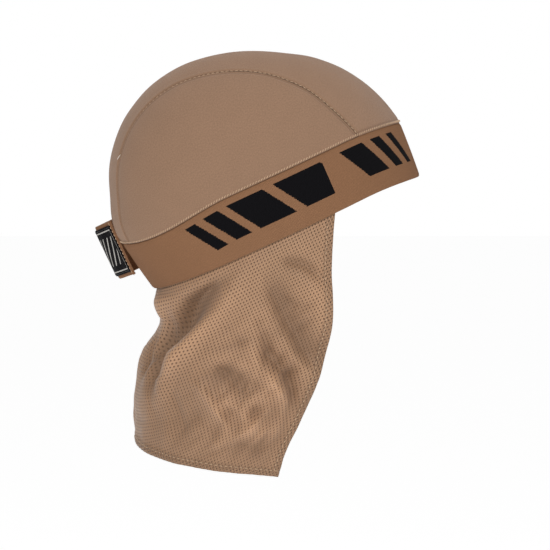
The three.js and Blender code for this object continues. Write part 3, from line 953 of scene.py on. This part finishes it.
def crown_cloth(where, to_seam, to_hem):
    """Puts a panel's points on the cloth's outside, with its seam and hem worked in, and a mask of painted
    shade along the seam and above the hem roll.
    """
    normal = form_normal(where)
    seed = where[..., 0].mean() / 20
    uneven = UNEVEN_DEPTH * ripple(where[..., 1], where[..., 2], UNEVEN_SIZE, seed)
    near = smooth(np.minimum(to_seam, to_hem), 0, 8)
    relief = seam_relief(to_seam) + hem_relief(to_hem) + uneven * near
    # Painted shade: a mask along the seam and above the hem roll that darkens the knit
    painted_groove_shade = hump(to_seam, 0, 0.6) + 0.8 * hump(to_hem, HEM_ROW, 0.6)
    return placed(where + normal * relief[..., None]), ("painted_groove_shade", np.minimum(painted_groove_shade, 1))


def centre_place(s, t):
    share, along = gathered(s, 0.7) * 2 - 1, gathered(t, 0.5)
    where = panel_point(share, share * (CLEARANCE / 2 - SEAM_GAP), along)
    across, down = run_lengths(where, 1), run_lengths(where, 0)
    to_seam = np.minimum(across, across[:, -1:] - across)
    to_hem = np.minimum(down, down[-1:] - down)
    lengths = np.stack([across - across[:, -1:] / 2, down], -1)
    where, painted_groove_shade = crown_cloth(where, to_seam, to_hem)
    return where, lengths, painted_groove_shade


def side_place(side):
    def place(s, t):
        along, up = gathered(s, 0.3), 1 - gathered(t, 0.75)
        where = side_panel_point(along, up)
        down = run_lengths(where, 0)
        to_seam, to_hem = down, down[-1:] - down
        across = run_lengths(where, 1)[-1:] + 0 * down
        where, painted_groove_shade = crown_cloth(where * np.array([side, 1, 1]), to_seam, to_hem)
        return where, np.stack([across, down], -1), painted_groove_shade

    return place


def tape_place(side):
    """The tape over a seam's inside, which closes it."""
    def place(s, t):
        across = (s - 0.5) * TAPE_WIDTH
        where = panel_point(1.0, CLEARANCE / 2 + across, TAPE_START + (1 - 2 * TAPE_START) * t)
        where = where * np.array([side, 1, 1])
        normal = form_normal(where)
        relief = seam_relief(np.abs(across)) - CROWN_WALL - TAPE_GAP
        return placed(where + normal * relief[..., None]), np.stack([across, run_lengths(where, 0)], -1)

    return place


def crown_seam_line(side):
    """The seam between the centre panel and a side panel, from the face to the nape."""
    along = np.linspace(0.01, 0.99, 400)
    return panel_point(1.0, CLEARANCE / 2, along) * np.array([side, 1, 1])


# The headband
BAND_COLUMNS = 400
FACE_ROWS = 24
SWELL = 0.25
EDGE_WIDTH, TOP_EDGE, LOWER_EDGE = 0.9, 0.45, 0.5


def band_profile(around):
    """The closed outline of the headband's wall at each turn: insets, heights and how far
    down the face each corner lies, in millimetres."""
    seam, bottom, taper = seam_height(around), band_bottom(around), band_taper(around)
    ledge, top = seam - CLEARANCE, seam + BAND_TUCK
    covered, inner = CROWN_WALL + TUCK_EASE, BAND_INSET + BAND_WALL
    face = ledge - bottom
    corners = [(covered, top, -5.0), (covered, ledge, -1.5), (BAND_INSET + 0.3, ledge, -0.1)]
    for i in range(FACE_ROWS + 1):
        down = i / FACE_ROWS
        upper, lower = hump(down * face, 0, EDGE_WIDTH), hump((1 - down) * face, 0, EDGE_WIDTH)
        edge = TOP_EDGE * upper + LOWER_EDGE * lower
        inset = BAND_INSET + (taper - BAND_INSET) * down + edge - SWELL * np.sin(np.pi * down)
        corners.append((inset, ledge - face * down * 0.992 - 0.15, face * down))
    corners += [(taper + 1.1, bottom, 37.6), (taper + BAND_WALL - 0.5, bottom + 0.3, 38.6)]
    for share in (0.02, 0.3, 0.6, 1.0):
        inset = taper + BAND_WALL + (inner - taper - BAND_WALL) * share
        corners.append((inset, bottom + (ledge - bottom) * share, 40 + 36 * share))
    corners += [(inner, top, 80.0), (covered, top, 82.0)]
    rows = [[np.broadcast_to(value, np.shape(around)) for value in corner] for corner in corners]
    return [np.stack([row[k] for row in rows]) for k in range(3)]


def band_place(s, t):
    around = (s[0] - 0.5) * 360
    insets, heights, down = band_profile(around)
    line = band_face(around, 0.5)
    lengths = lengths_along(line)
    u = lengths - lengths[-1] / 2
    ring = form_ring(around, seam_height(around))
    normal = form_normal(ring)
    normal[..., 2] = 0
    normal = unit(normal)
    where = ring[None] - normal[None] * insets[..., None]
    where[..., 2] = heights
    return placed(where), np.stack([np.broadcast_to(u, down.shape), down], -1)


# The neck flap
FLAP_COLUMNS, FLAP_TUCK_ROWS, FLAP_FALL_ROWS = 320, 4, 140
FRONT_SEAM = 1.6
HEM_SEAM = 1.2
HEM_RISE, HEM_GROOVE, EDGE_ROUND = 0.6, 0.35, 0.45
HEM_STEP = (0.6, 0.4)
HEM_POINTS, FRONT_POINTS = 900, 500
# Depth and wavelength of the cloth's soft unevenness
SOFT_LARGE, SOFT_SMALL = (0.45, 47), (0.25, 23)
CRUMPLE_LARGE, LARGE_SIZE = 3.0, 52
CRUMPLE_SMALL, SMALL_SIZE = 1.4, 27
CRUMPLE_BEND, BEND_SIZE = 9, 71
NAPE_CRUMPLE = 0.35
PUCKER_DEPTH, PUCKER_PITCH = 0.12, 5.5
# Painted light on the small creases' ridges, and painted shade towards the lower flap
CRUMPLE_PAINTED_LIGHT, LOWER_PAINTED_SHADE = 1.5, 2.6


def crumple(x, y, around, down):
    """Small creases where the cloth was folded away, most towards the lower front."""
    bent = x + CRUMPLE_BEND * ripple(x, y, BEND_SIZE, 0.3)
    large = np.abs(ripple(bent + 0.6 * y, y - 0.4 * x, LARGE_SIZE, 1.1))
    small = np.abs(ripple(bent - 0.5 * y, y + 0.3 * x, SMALL_SIZE, 3.7))
    ahead = smooth(np.abs(around - 180), 40, 75)
    where = smooth(down, 0.15, 0.5) * (NAPE_CRUMPLE + (1 - NAPE_CRUMPLE) * ahead)
    return (CRUMPLE_LARGE * large + CRUMPLE_SMALL * small) * where


def hem_share(away, width):
    """1 on a hem and 0 beyond it, with a short step between."""
    return smooth(-away, -width - HEM_STEP[0], -width + HEM_STEP[1])


def flap_surface(around, down):
    """The flap's outside with its folds and hems, its normal and drop, where its hems
    are, and the painted shade and light: the folds' valleys and the lower flap darker, the ridges lighter."""
    fall, drop = flap_fall(around, down)
    to_front = np.minimum(around - FRONT_TURN, 360 - FRONT_TURN - around) * PER_TURN
    to_hem = (1 - down) * drop
    hem = np.maximum(hem_share(to_front, FRONT_HEM), hem_share(to_hem, BOTTOM_HEM))
    edge = np.minimum(to_front, to_hem)
    relief = HEM_RISE * hem - EDGE_ROUND * hump(edge, 0, 0.7)
    for away, middle in ((to_front, FRONT_HEM - FRONT_SEAM), (to_hem, BOTTOM_HEM - HEM_SEAM)):
        relief = relief - HEM_GROOVE * hump(away, middle, 0.9)
    x, y = around * PER_TURN, down * drop
    (deep, wide), (shallow, narrow) = SOFT_LARGE, SOFT_SMALL
    soft = deep * ripple(x, y, wide, 0.4) + shallow * ripple(x + 0.4 * y, y, narrow, 2.0)
    wave = np.sin(2 * np.pi * x / PUCKER_PITCH + 2 * np.sin(x / 17))
    puckers = PUCKER_DEPTH * wave * smooth(-to_hem, -9, -3)
    small = crumple(x, y, around, down) * calmed(edge, 0.3)
    relief = relief + (soft + puckers) * smooth(down, 0, 0.2) + small
    normal = flap_normal(around, down)
    depth = fold_depth(around, down, drop)
    where = fall + normal * (depth + relief)[..., None]
    # Painted shade and light: darker in the folds' valleys and towards the lower flap, lighter on the
    # ridges of the folds and small creases
    shade = depth + CRUMPLE_PAINTED_LIGHT * small - LOWER_PAINTED_SHADE * smooth(down, 0.25, 0.65)
    return where, normal, drop, hem, shade


def flap_place(s, t):
    rows = FLAP_TUCK_ROWS + FLAP_FALL_ROWS
    around = FRONT_TURN + (360 - FLAP_OPENING) * s
    row = t * rows
    rise = np.clip((FLAP_TUCK_ROWS - row) / FLAP_TUCK_ROWS, 0, 1) * FLAP_TUCK
    down = np.clip((row - FLAP_TUCK_ROWS) / FLAP_FALL_ROWS, 0, 1)
    # depth here is the painted shade and light, kept in the "fold" attribute
    below, _, drop, hem, depth = flap_surface(around, down)
    where = np.where((rise > 0)[..., None], flap_top(around, rise), below)
    lengths = np.stack([(around - 180) * PER_TURN, down * drop - rise], -1)
    return where, lengths, ("hem", hem), ("fold", depth)


def flap_line(away, edge):
    """A line on the flap at a distance from an edge: front right, front left or hem."""
    if edge == "hem":
        around = np.linspace(FRONT_TURN + 1, 359 - FRONT_TURN, HEM_POINTS)
        down = 1 - away / flap_fall(around, np.ones(HEM_POINTS))[1]
    else:
        down = np.linspace(0.03, 0.985, FRONT_POINTS)
        turn = FRONT_TURN + away / PER_TURN
        around = np.full(FRONT_POINTS, turn if edge == "right" else 360 - turn)
    line, normal = flap_surface(around, down)[:2]
    return line + normal * 0.2, normal


# The strap and its label
STRAP_GRID, LABEL_GRID = (120, 36), (60, 60)
LABEL_SHOWN = 42.0
LABEL_SHIFT = LABEL_SHOWN - LABEL_LENGTH
LABEL_OFF = STRAP_WALL / 2 + CLEARANCE + LABEL_WALL
LABEL_EDGE = 1.3
# The label's border line lies between two distances from its edge
LINE_FROM, LINE_TO = 2.4, 3.2
SLANT, SLANT_PITCH, SLANT_LINE, SLANT_INSET = 0.6, 6.8, 1.6, 7.0
TACK = 9.0
ROUTE_STEPS, ROUTE_POINTS = 60, 801
ROW_POINTS = 400


def strap_route():
    """The strap's centre line from above, in the headband's frame, evenly spaced."""
    low, high = STRAP_RISE - STRAP_HEIGHT / 2, STRAP_RISE + STRAP_HEIGHT / 2
    marks = []
    for turn, off in zip(STRAP_ROUTE["turn"], STRAP_ROUTE["off"]):
        rings = [form_ring(180 - turn * STRAP_SPAN, max(h, 0)) for h in (low, STRAP_RISE, high)]
        widest = max(rings, key=lambda ring: math.hypot(ring[0], ring[1]))
        normal = form_normal(widest[None])[0]
        normal[2] = 0
        widest = widest * np.array([1, 1, 0])
        marks.append(widest + unit(normal) * (CLEARANCE + STRAP_WALL / 2 + off * STRAP_STANDOFF))
    marks = [2 * marks[0] - marks[1], *marks, 2 * marks[-1] - marks[-2]]
    line = []
    for a, b, c, d in zip(marks, marks[1:], marks[2:], marks[3:]):
        gap_a, gap_b, gap_c = (np.linalg.norm(q - p) ** 0.5 for p, q in ((a, b), (b, c), (c, d)))
        leave = (b - a) / gap_a - (c - a) / (gap_a + gap_b) + (c - b) / gap_b
        reach = (c - b) / gap_b - (d - b) / (gap_b + gap_c) + (d - c) / gap_c
        leave, reach = leave * gap_b, reach * gap_b
        s = np.linspace(0, 1, ROUTE_STEPS, endpoint=False)[:, None]
        curve = b + leave * s + (3 * (c - b) - 2 * leave - reach) * s**2
        line.append(curve + (2 * (b - c) + leave + reach) * s**3)
    line = np.concatenate(line + [marks[-2][None]])
    length = lengths_along(line)
    even = np.linspace(0, length[-1], ROUTE_POINTS)
    return at_places(line, np.interp(even, length, np.arange(len(line))))


def on_strap(share, height, off):
    """A point a share along the strap's route, at a height from its middle, and outwards."""
    route = strap_route()
    places = np.asarray(share) * (len(route) - 1)
    spot = at_places(route, places)
    ahead = unit(at_places(np.gradient(route, axis=0), places))
    out = np.stack([ahead[..., 1], -ahead[..., 0], 0 * ahead[..., 0]], -1)
    out = out * np.where((out * spot).sum(-1) < 0, -1, 1)[..., None]
    spot = spot + out * np.asarray(off)[..., None]
    spot[..., 2] = STRAP_RISE + height
    return placed(spot), out


def strap_length():
    return lengths_along(strap_route())[-1]


def strap_place(s, t):
    height = (0.5 - gathered(t, 0.6)) * STRAP_HEIGHT
    edge = STRAP_HEIGHT / 2 - np.abs(height)
    off = STRAP_WALL / 2 - 0.4 * hump(edge, 0, 0.7)
    where, _ = on_strap(s, height, off)
    return where, np.stack([s * strap_length(), height], -1)


def label_place(s, t):
    long, height = s * LABEL_SHOWN, (0.5 - t) * LABEL_HEIGHT
    edge = np.minimum(np.minimum(long, LABEL_SHOWN - long), LABEL_HEIGHT / 2 - np.abs(height))
    off = LABEL_OFF - 0.3 * hump(edge, 0, 0.6)
    share = LABEL_START + (long - LABEL_SHIFT) / strap_length()
    where, _ = on_strap(share, height, off)
    return where, np.stack([long, height], -1)


def strap_row(corners, off, pitch, size):
    """Stitches on the strap from corner to corner, each a length along it and a height."""
    flat = np.array([(x, y, 0) for x, y in corners])
    path = at_places(flat, np.linspace(0, len(corners) - 1, ROW_POINTS))
    line, out = on_strap(path[:, 0] / strap_length(), path[:, 1], np.full(ROW_POINTS, off))
    return row_of_stitches("row", line, tilted(out), pitch, *size)


def label_material():
    """Woven black label: a plain border line, and slanted stripes inside it."""
    looks = bpy.context.scene.wrap_looks
    material, tree, shader = new_material("label_weave", 0.7, 0.0)
    calc = partial(math_node, tree)
    shader.inputs["Specular IOR Level"].default_value = 0.05
    uv = cloth_lengths(tree)
    long, height = two_lengths(tree, uv)
    x = calc("ABSOLUTE", calc("SUBTRACT", long, LABEL_SHOWN / 2))
    y = calc("ABSOLUTE", height)
    edge = calc("MINIMUM", calc("SUBTRACT", LABEL_SHOWN / 2, x), calc("SUBTRACT", LABEL_HEIGHT / 2, y))
    border = calc("MULTIPLY", calc("GREATER_THAN", edge, LINE_FROM), calc("LESS_THAN", edge, LINE_TO))
    slant = calc("MULTIPLY_ADD", height, SLANT, long)
    stripe = calc("LESS_THAN", calc("PINGPONG", slant, SLANT_PITCH / 2), SLANT_LINE / 2)
    inside = calc("GREATER_THAN", edge, SLANT_INSET)
    pale = calc("MAXIMUM", border, calc("MULTIPLY", stripe, inside))
    weave = use_group(tree, "Rib weave", uv, rib_pitch=0.5, pick_pitch=0.6)
    fibre = use_group(tree, "Fibre variation", uv, blotch_size=12, blotch_depth=0.05,
                      fleck_size=0.4, fleck_depth=0.15)
    factor = calc("MULTIPLY", fibre, calc("MULTIPLY_ADD", weave, 0.3, 0.8))
    dark = shaded(tree, looks.stripe_colour, factor)
    light = shaded(tree, looks.label_colour, factor)
    tree.links.new(mixed(tree, pale, dark, light), shader.inputs["Base Color"])
    raised(tree, shader, calc("MULTIPLY_ADD", pale, 0.5, weave), 0.12)
    return material


# Stitching
SEAM_PITCH, SEAM_ZIGZAG = 3.0, 12
SEAM_SINK, NAPE_SINK = 0.3, 0.5
OVERLOCK_PITCH, OVERLOCK_LENGTH, OVERLOCK_TURN, OVERLOCK_RISE = 1.9, 2.2, 38, 1.1
HEM_PITCH, HEM_STITCH = 3.2, 1.9
STRAP_PITCH = 2.6
LABEL_PITCH, LABEL_STITCH = 2.0, (1.4, 0.4)
ABOVE_CLOTH = 0.1
LOOSE_SHARE = 0.8
LOOSE_WAY = (0.2, 0.55, -0.8)
LOOSE_LENGTH, LOOSE_WIDTH = 4.2, 0.45
LOOSE_COLOUR = (236, 228, 216)


def crown_rows(length, width):
    """The crown's two seams, sunk deeper at the nape, and the overlock on its edge."""
    rows = []
    for side in (-1, 1):
        line = crown_seam_line(side)
        normal = form_normal(line)
        sink = SEAM_SINK + NAPE_SINK * smooth(np.linspace(0, 1, len(line)), 0.4, 0.55)
        rows.append(row_of_stitches("seam", placed(line - normal * sink[:, None]), tilted(normal),
                                    SEAM_PITCH, length, width, zigzag=SEAM_ZIGZAG))
    around = np.linspace(-180, 180, 1400)
    line = form_ring(around, seam_height(around) + OVERLOCK_RISE)
    normal = form_normal(line)
    rows.append(row_of_stitches("hem", placed(line + normal * 0.2), tilted(normal),
                                OVERLOCK_PITCH, OVERLOCK_LENGTH, width, turn=OVERLOCK_TURN))
    return rows


def loose_thread():
    """The thread end that stands out of the right seam."""
    line = crown_seam_line(-1)
    spot = line[int(LOOSE_SHARE * len(line))][None]
    normal = form_normal(spot)
    return stitches("loose_thread", placed(spot + normal * 0.5), np.array([LOOSE_WAY]),
                    tilted(normal), LOOSE_LENGTH, LOOSE_WIDTH)


def flap_rows(width):
    front, bottom = FRONT_HEM - FRONT_SEAM, BOTTOM_HEM - HEM_SEAM
    rows = []
    for edge, away in (("right", front), ("left", front), ("hem", bottom)):
        line, normal = flap_line(away, edge)
        rows.append(row_of_stitches("hem", line, normal, HEM_PITCH, HEM_STITCH, width))
    return rows


def label_row():
    """The row of stitches round the label, close to its edge."""
    top, long = LABEL_HEIGHT / 2 - LABEL_EDGE, LABEL_SHOWN - LABEL_EDGE
    shift = LABEL_START * strap_length() - LABEL_SHIFT
    start, end = LABEL_EDGE + shift, long + shift
    corners = [(start, -top), (end, -top), (end, top), (start, top), (start, -top)]
    row = strap_row(corners, LABEL_OFF + ABOVE_CLOTH, LABEL_PITCH, LABEL_STITCH)
    row.name = row.data.name = "label_stitches"
    return row


def strap_rows(size):
    """The stitched box at the strap's fixed end, and the row at its free end."""
    end, top = strap_length() - LABEL_EDGE, STRAP_HEIGHT / 2 - LABEL_EDGE
    tack = [(end, -top), (end, top), (end - TACK, top), (end - TACK, -top), (end, -top)]
    row = [(LABEL_EDGE, -top), (LABEL_EDGE, top)]
    off = STRAP_WALL / 2 + ABOVE_CLOTH
    return [strap_row(corners, off, STRAP_PITCH, size) for corners in (tack, row)]


# The stage
FLOOR_HEIGHT, FLOOR_SIZE = -1.4, 40
FLOOR_SHADE, FLOOR_GLOW = 0.9, 0.8
CAMERA_SPOT = (-1.09581, -0.012975, -0.04851)
CAMERA_PITCH = 5
CAMERA_LENS, SENSOR_WIDTH = 109.92, 36
AIR_LIGHT = 0.2
LIT_SPOT = (0, 0, -0.12)
# Name, place, width and power of each light
LIGHTS = (
    ("key", (-1.4, 0.25, 0.6), 0.45, 12),
    ("fill", (-1.1, -1.1, 0.1), 1.2, 3),
    ("top", (0.1, -0.3, 1.3), 1.2, 9),
    ("back", (1.2, 0.4, 0.5), 1.2, 8),
)


def floor_material():
    material = bpy.data.materials.new("floor_pale")
    material.use_nodes = True
    shader = material.node_tree.nodes["Principled BSDF"]
    shader.inputs["Base Color"].default_value = (FLOOR_SHADE, FLOOR_SHADE, FLOOR_SHADE, 1)
    shader.inputs["Roughness"].default_value = 0.9
    shader.inputs["Emission Color"].default_value = (1, 1, 1, 1)
    shader.inputs["Emission Strength"].default_value = FLOOR_GLOW
    return material


def pale_air():
    """A world that looks white and lights the object only a little."""
    world = bpy.data.worlds.new("studio")
    world.use_nodes = True
    tree = world.node_tree
    air = tree.nodes["Background"]
    air.inputs["Color"].default_value = (1, 1, 1, 1)
    path = tree.nodes.new("ShaderNodeLightPath")
    seen = path.outputs["Is Camera Ray"]
    strength = math_node(tree, "MULTIPLY_ADD", seen, 1 - AIR_LIGHT, AIR_LIGHT)
    tree.links.new(strength, air.inputs["Strength"])
    return world


# Settings, tools and panel
def linear(red, green, blue):
    """A colour of 0 to 255 as Blender keeps it."""
    shares = [value / 255 for value in (red, green, blue)]
    return tuple(c / 12.92 if c < 0.04045 else ((c + 0.055) / 1.055) ** 2.4 for c in shares)


def colour_setting(name, description, shade):
    return bpy.props.FloatVectorProperty(
        name=name, description=description, subtype="COLOR", size=3, min=0, max=1,
        default=linear(*shade),
    )


def length_setting(name, description, value):
    """A small length, given in millimetres."""
    return bpy.props.FloatProperty(
        name=name, description=description, unit="LENGTH", default=value * MM, min=0.05 * MM,
        max=20 * MM, precision=5,
    )


class WrapLooks(bpy.types.PropertyGroup):
    crown_colour: colour_setting("Crown", "Colour of the crown's knit", (150, 119, 96))
    band_colour: colour_setting("Headband", "Colour of the elastic's ground", (136, 99, 72))
    stripe_colour: colour_setting("Stripes", "Colour of the woven stripes and label", (9, 8, 11))
    flap_colour: colour_setting("Flap", "Colour of the perforated cloth", (173, 135, 104))
    # The holes' colour is painted shade, the shaded inside seen through them
    painted_hole_shade: colour_setting("Holes", "Colour seen in the flap's holes", (88, 62, 44))
    thread_colour: colour_setting("Thread", "Colour of the stitching", (196, 165, 134))
    label_colour: colour_setting("Label lines", "Colour of the label's lines", (190, 186, 180))
    hole_pitch: length_setting("Hole pitch", "Distance between the flap's holes", 2.4)
    hole_row: length_setting("Hole rows", "Distance between rows of holes", 2.1)
    hole_size: length_setting("Hole size", "Width of a hole in the flap", 0.98)
    stripe_step: length_setting("Stripe step", "Steps of the stripes' woven edges", 0.55)
    stitch_length: length_setting("Stitch length", "Length of a stitch", 2.2)
    stitch_width: length_setting("Stitch width", "Width of the sewing thread", 0.52)


def thread():
    colour = bpy.context.scene.wrap_looks.thread_colour
    return bpy.data.materials.get("thread") or thread_material("thread", colour)


class WRAP_OT_crown(bpy.types.Operator):
    """Makes the crown's centre panel, its two half-moon side panels and the seam tapes"""

    bl_idname = "wrap.crown"
    bl_label = "Crown"

    def execute(self, context):
        knit = crown_material()
        pieces = [("center_panel", CENTRE_GRID, centre_place, CROWN_WALL, ["crown_center"])]
        for side, label in ((-1, "right"), (1, "left")):
            pieces += [
                (f"{label}_panel", SIDE_GRID, side_place(side), CROWN_WALL, [f"crown_side_{label}"]),
                (f"{label}_tape", TAPE_GRID, tape_place(side), TAPE_WALL, []),
            ]
        for name, grid, place, wall, nodes in pieces:
            cloth_piece(f"crown_{name}", grid, place, HEAD_MIDDLE, wall, knit, nodes)
        return {"FINISHED"}


class WRAP_OT_headband(bpy.types.Operator):
    """Makes the woven elastic headband"""

    bl_idname = "wrap.headband"
    bl_label = "Headband"

    def execute(self, context):
        rows = len(band_profile(np.zeros(1))[0]) - 1
        band = cloth_grid("headband_elastic", BAND_COLUMNS, rows, band_place, HEAD_MIDDLE)
        face_outwards()
        bpy.ops.object.shade_smooth_by_angle(angle=math.radians(50))
        finish_piece(band, band_material(), ["headband"])
        return {"FINISHED"}


class WRAP_OT_neck_flap(bpy.types.Operator):
    """Makes the perforated flap with its folds and hems"""

    bl_idname = "wrap.neck_flap"
    bl_label = "Neck flap"

    def execute(self, context):
        grid = (FLAP_COLUMNS, FLAP_TUCK_ROWS + FLAP_FALL_ROWS)
        flap = cloth_piece("neck_flap_cloth", grid, flap_place, HEAD_MIDDLE, FLAP_WALL,
                           flap_material(), ["neck_flap"])
        return {"FINISHED"}


class WRAP_OT_strap(bpy.types.Operator):
    """Makes the closure strap and the woven label on it"""

    bl_idname = "wrap.strap"
    bl_label = "Strap and label"

    def execute(self, context):
        centre = tuple(BAND_MIDDLE * MM)
        cloth_piece("closure_strap_elastic", STRAP_GRID, strap_place, centre, STRAP_WALL,
                    strap_material(), ["closure_strap"])
        cloth_piece("strap_label_woven", LABEL_GRID, label_place, centre, LABEL_WALL,
                    label_material(), ["strap_label"])
        return {"FINISHED"}


class WRAP_OT_stitching(bpy.types.Operator):
    """Sews the crown's seams and lower edge, the flap's hems, the label and the strap"""

    bl_idname = "wrap.stitching"
    bl_label = "Stitching"

    def execute(self, context):
        looks = context.scene.wrap_looks
        size = (looks.stitch_length / MM, looks.stitch_width / MM)
        finish_piece(joined("crown_stitches", crown_rows(*size)), thread())
        pale = thread_material("loose_thread", linear(*LOOSE_COLOUR))
        finish_piece(loose_thread(), pale)
        finish_piece(joined("flap_stitches", flap_rows(size[1])), thread())
        black = thread_material("label_thread", looks.stripe_colour)
        finish_piece(label_row(), black)
        finish_piece(joined("strap_stitches", strap_rows(size)), thread())
        return {"FINISHED"}


class WRAP_OT_stage(bpy.types.Operator):
    """Sets the pale floor, the soft lights and the camera"""

    bl_idname = "wrap.stage"
    bl_label = "Stage"

    def execute(self, context):
        start_clean()
        bpy.ops.mesh.primitive_plane_add(size=FLOOR_SIZE, location=(0, 0, FLOOR_HEIGHT))
        floor = bpy.context.object
        floor.name = "floor"
        floor.data.materials.append(floor_material())
        context.scene.world = pale_air()
        context.scene.view_settings.view_transform = "Standard"
        for name, spot, width, power in LIGHTS:
            bpy.ops.object.light_add(type="AREA", location=spot)
            light = bpy.context.object
            light.name = name
            light.data.size = width
            light.data.energy = power
            aim = Vector(LIT_SPOT) - light.location
            light.rotation_euler = aim.to_track_quat("-Z", "Y").to_euler()
        bpy.ops.object.camera_add(location=CAMERA_SPOT)
        camera = bpy.context.object
        camera.rotation_euler = (math.radians(90 - CAMERA_PITCH), 0, math.radians(-90))
        camera.data.lens = CAMERA_LENS
        camera.data.sensor_width = SENSOR_WIDTH
        context.scene.camera = camera
        return {"FINISHED"}


class WRAP_PT_panel(bpy.types.Panel):
    bl_idname = "WRAP_PT_panel"
    bl_label = "Skull Wrap"
    bl_space_type = "VIEW_3D"
    bl_region_type = "UI"
    bl_category = "Skull Wrap"

    def draw(self, context):
        for name in WrapLooks.__annotations__:
            self.layout.prop(context.scene.wrap_looks, name)
        for tool in TOOLS:
            self.layout.operator(tool.bl_idname)


TOOLS = (
    WRAP_OT_crown,
    WRAP_OT_headband,
    WRAP_OT_neck_flap,
    WRAP_OT_strap,
    WRAP_OT_stitching,
    WRAP_OT_stage,
)


def register():
    for kind in (WrapLooks, *TOOLS, WRAP_PT_panel):
        bpy.utils.register_class(kind)
    bpy.types.Scene.wrap_looks = bpy.props.PointerProperty(type=WrapLooks)


def unregister():
    del bpy.types.Scene.wrap_looks
    for kind in (WRAP_PT_panel, *reversed(TOOLS), WrapLooks):
        bpy.utils.unregister_class(kind)


def main():
    register()
    bpy.ops.wrap.crown()
    bpy.ops.wrap.headband()
    bpy.ops.wrap.neck_flap()
    bpy.ops.wrap.strap()
    bpy.ops.wrap.stitching()
    bpy.ops.wrap.stage()


if __name__ == "__main__":
    main()
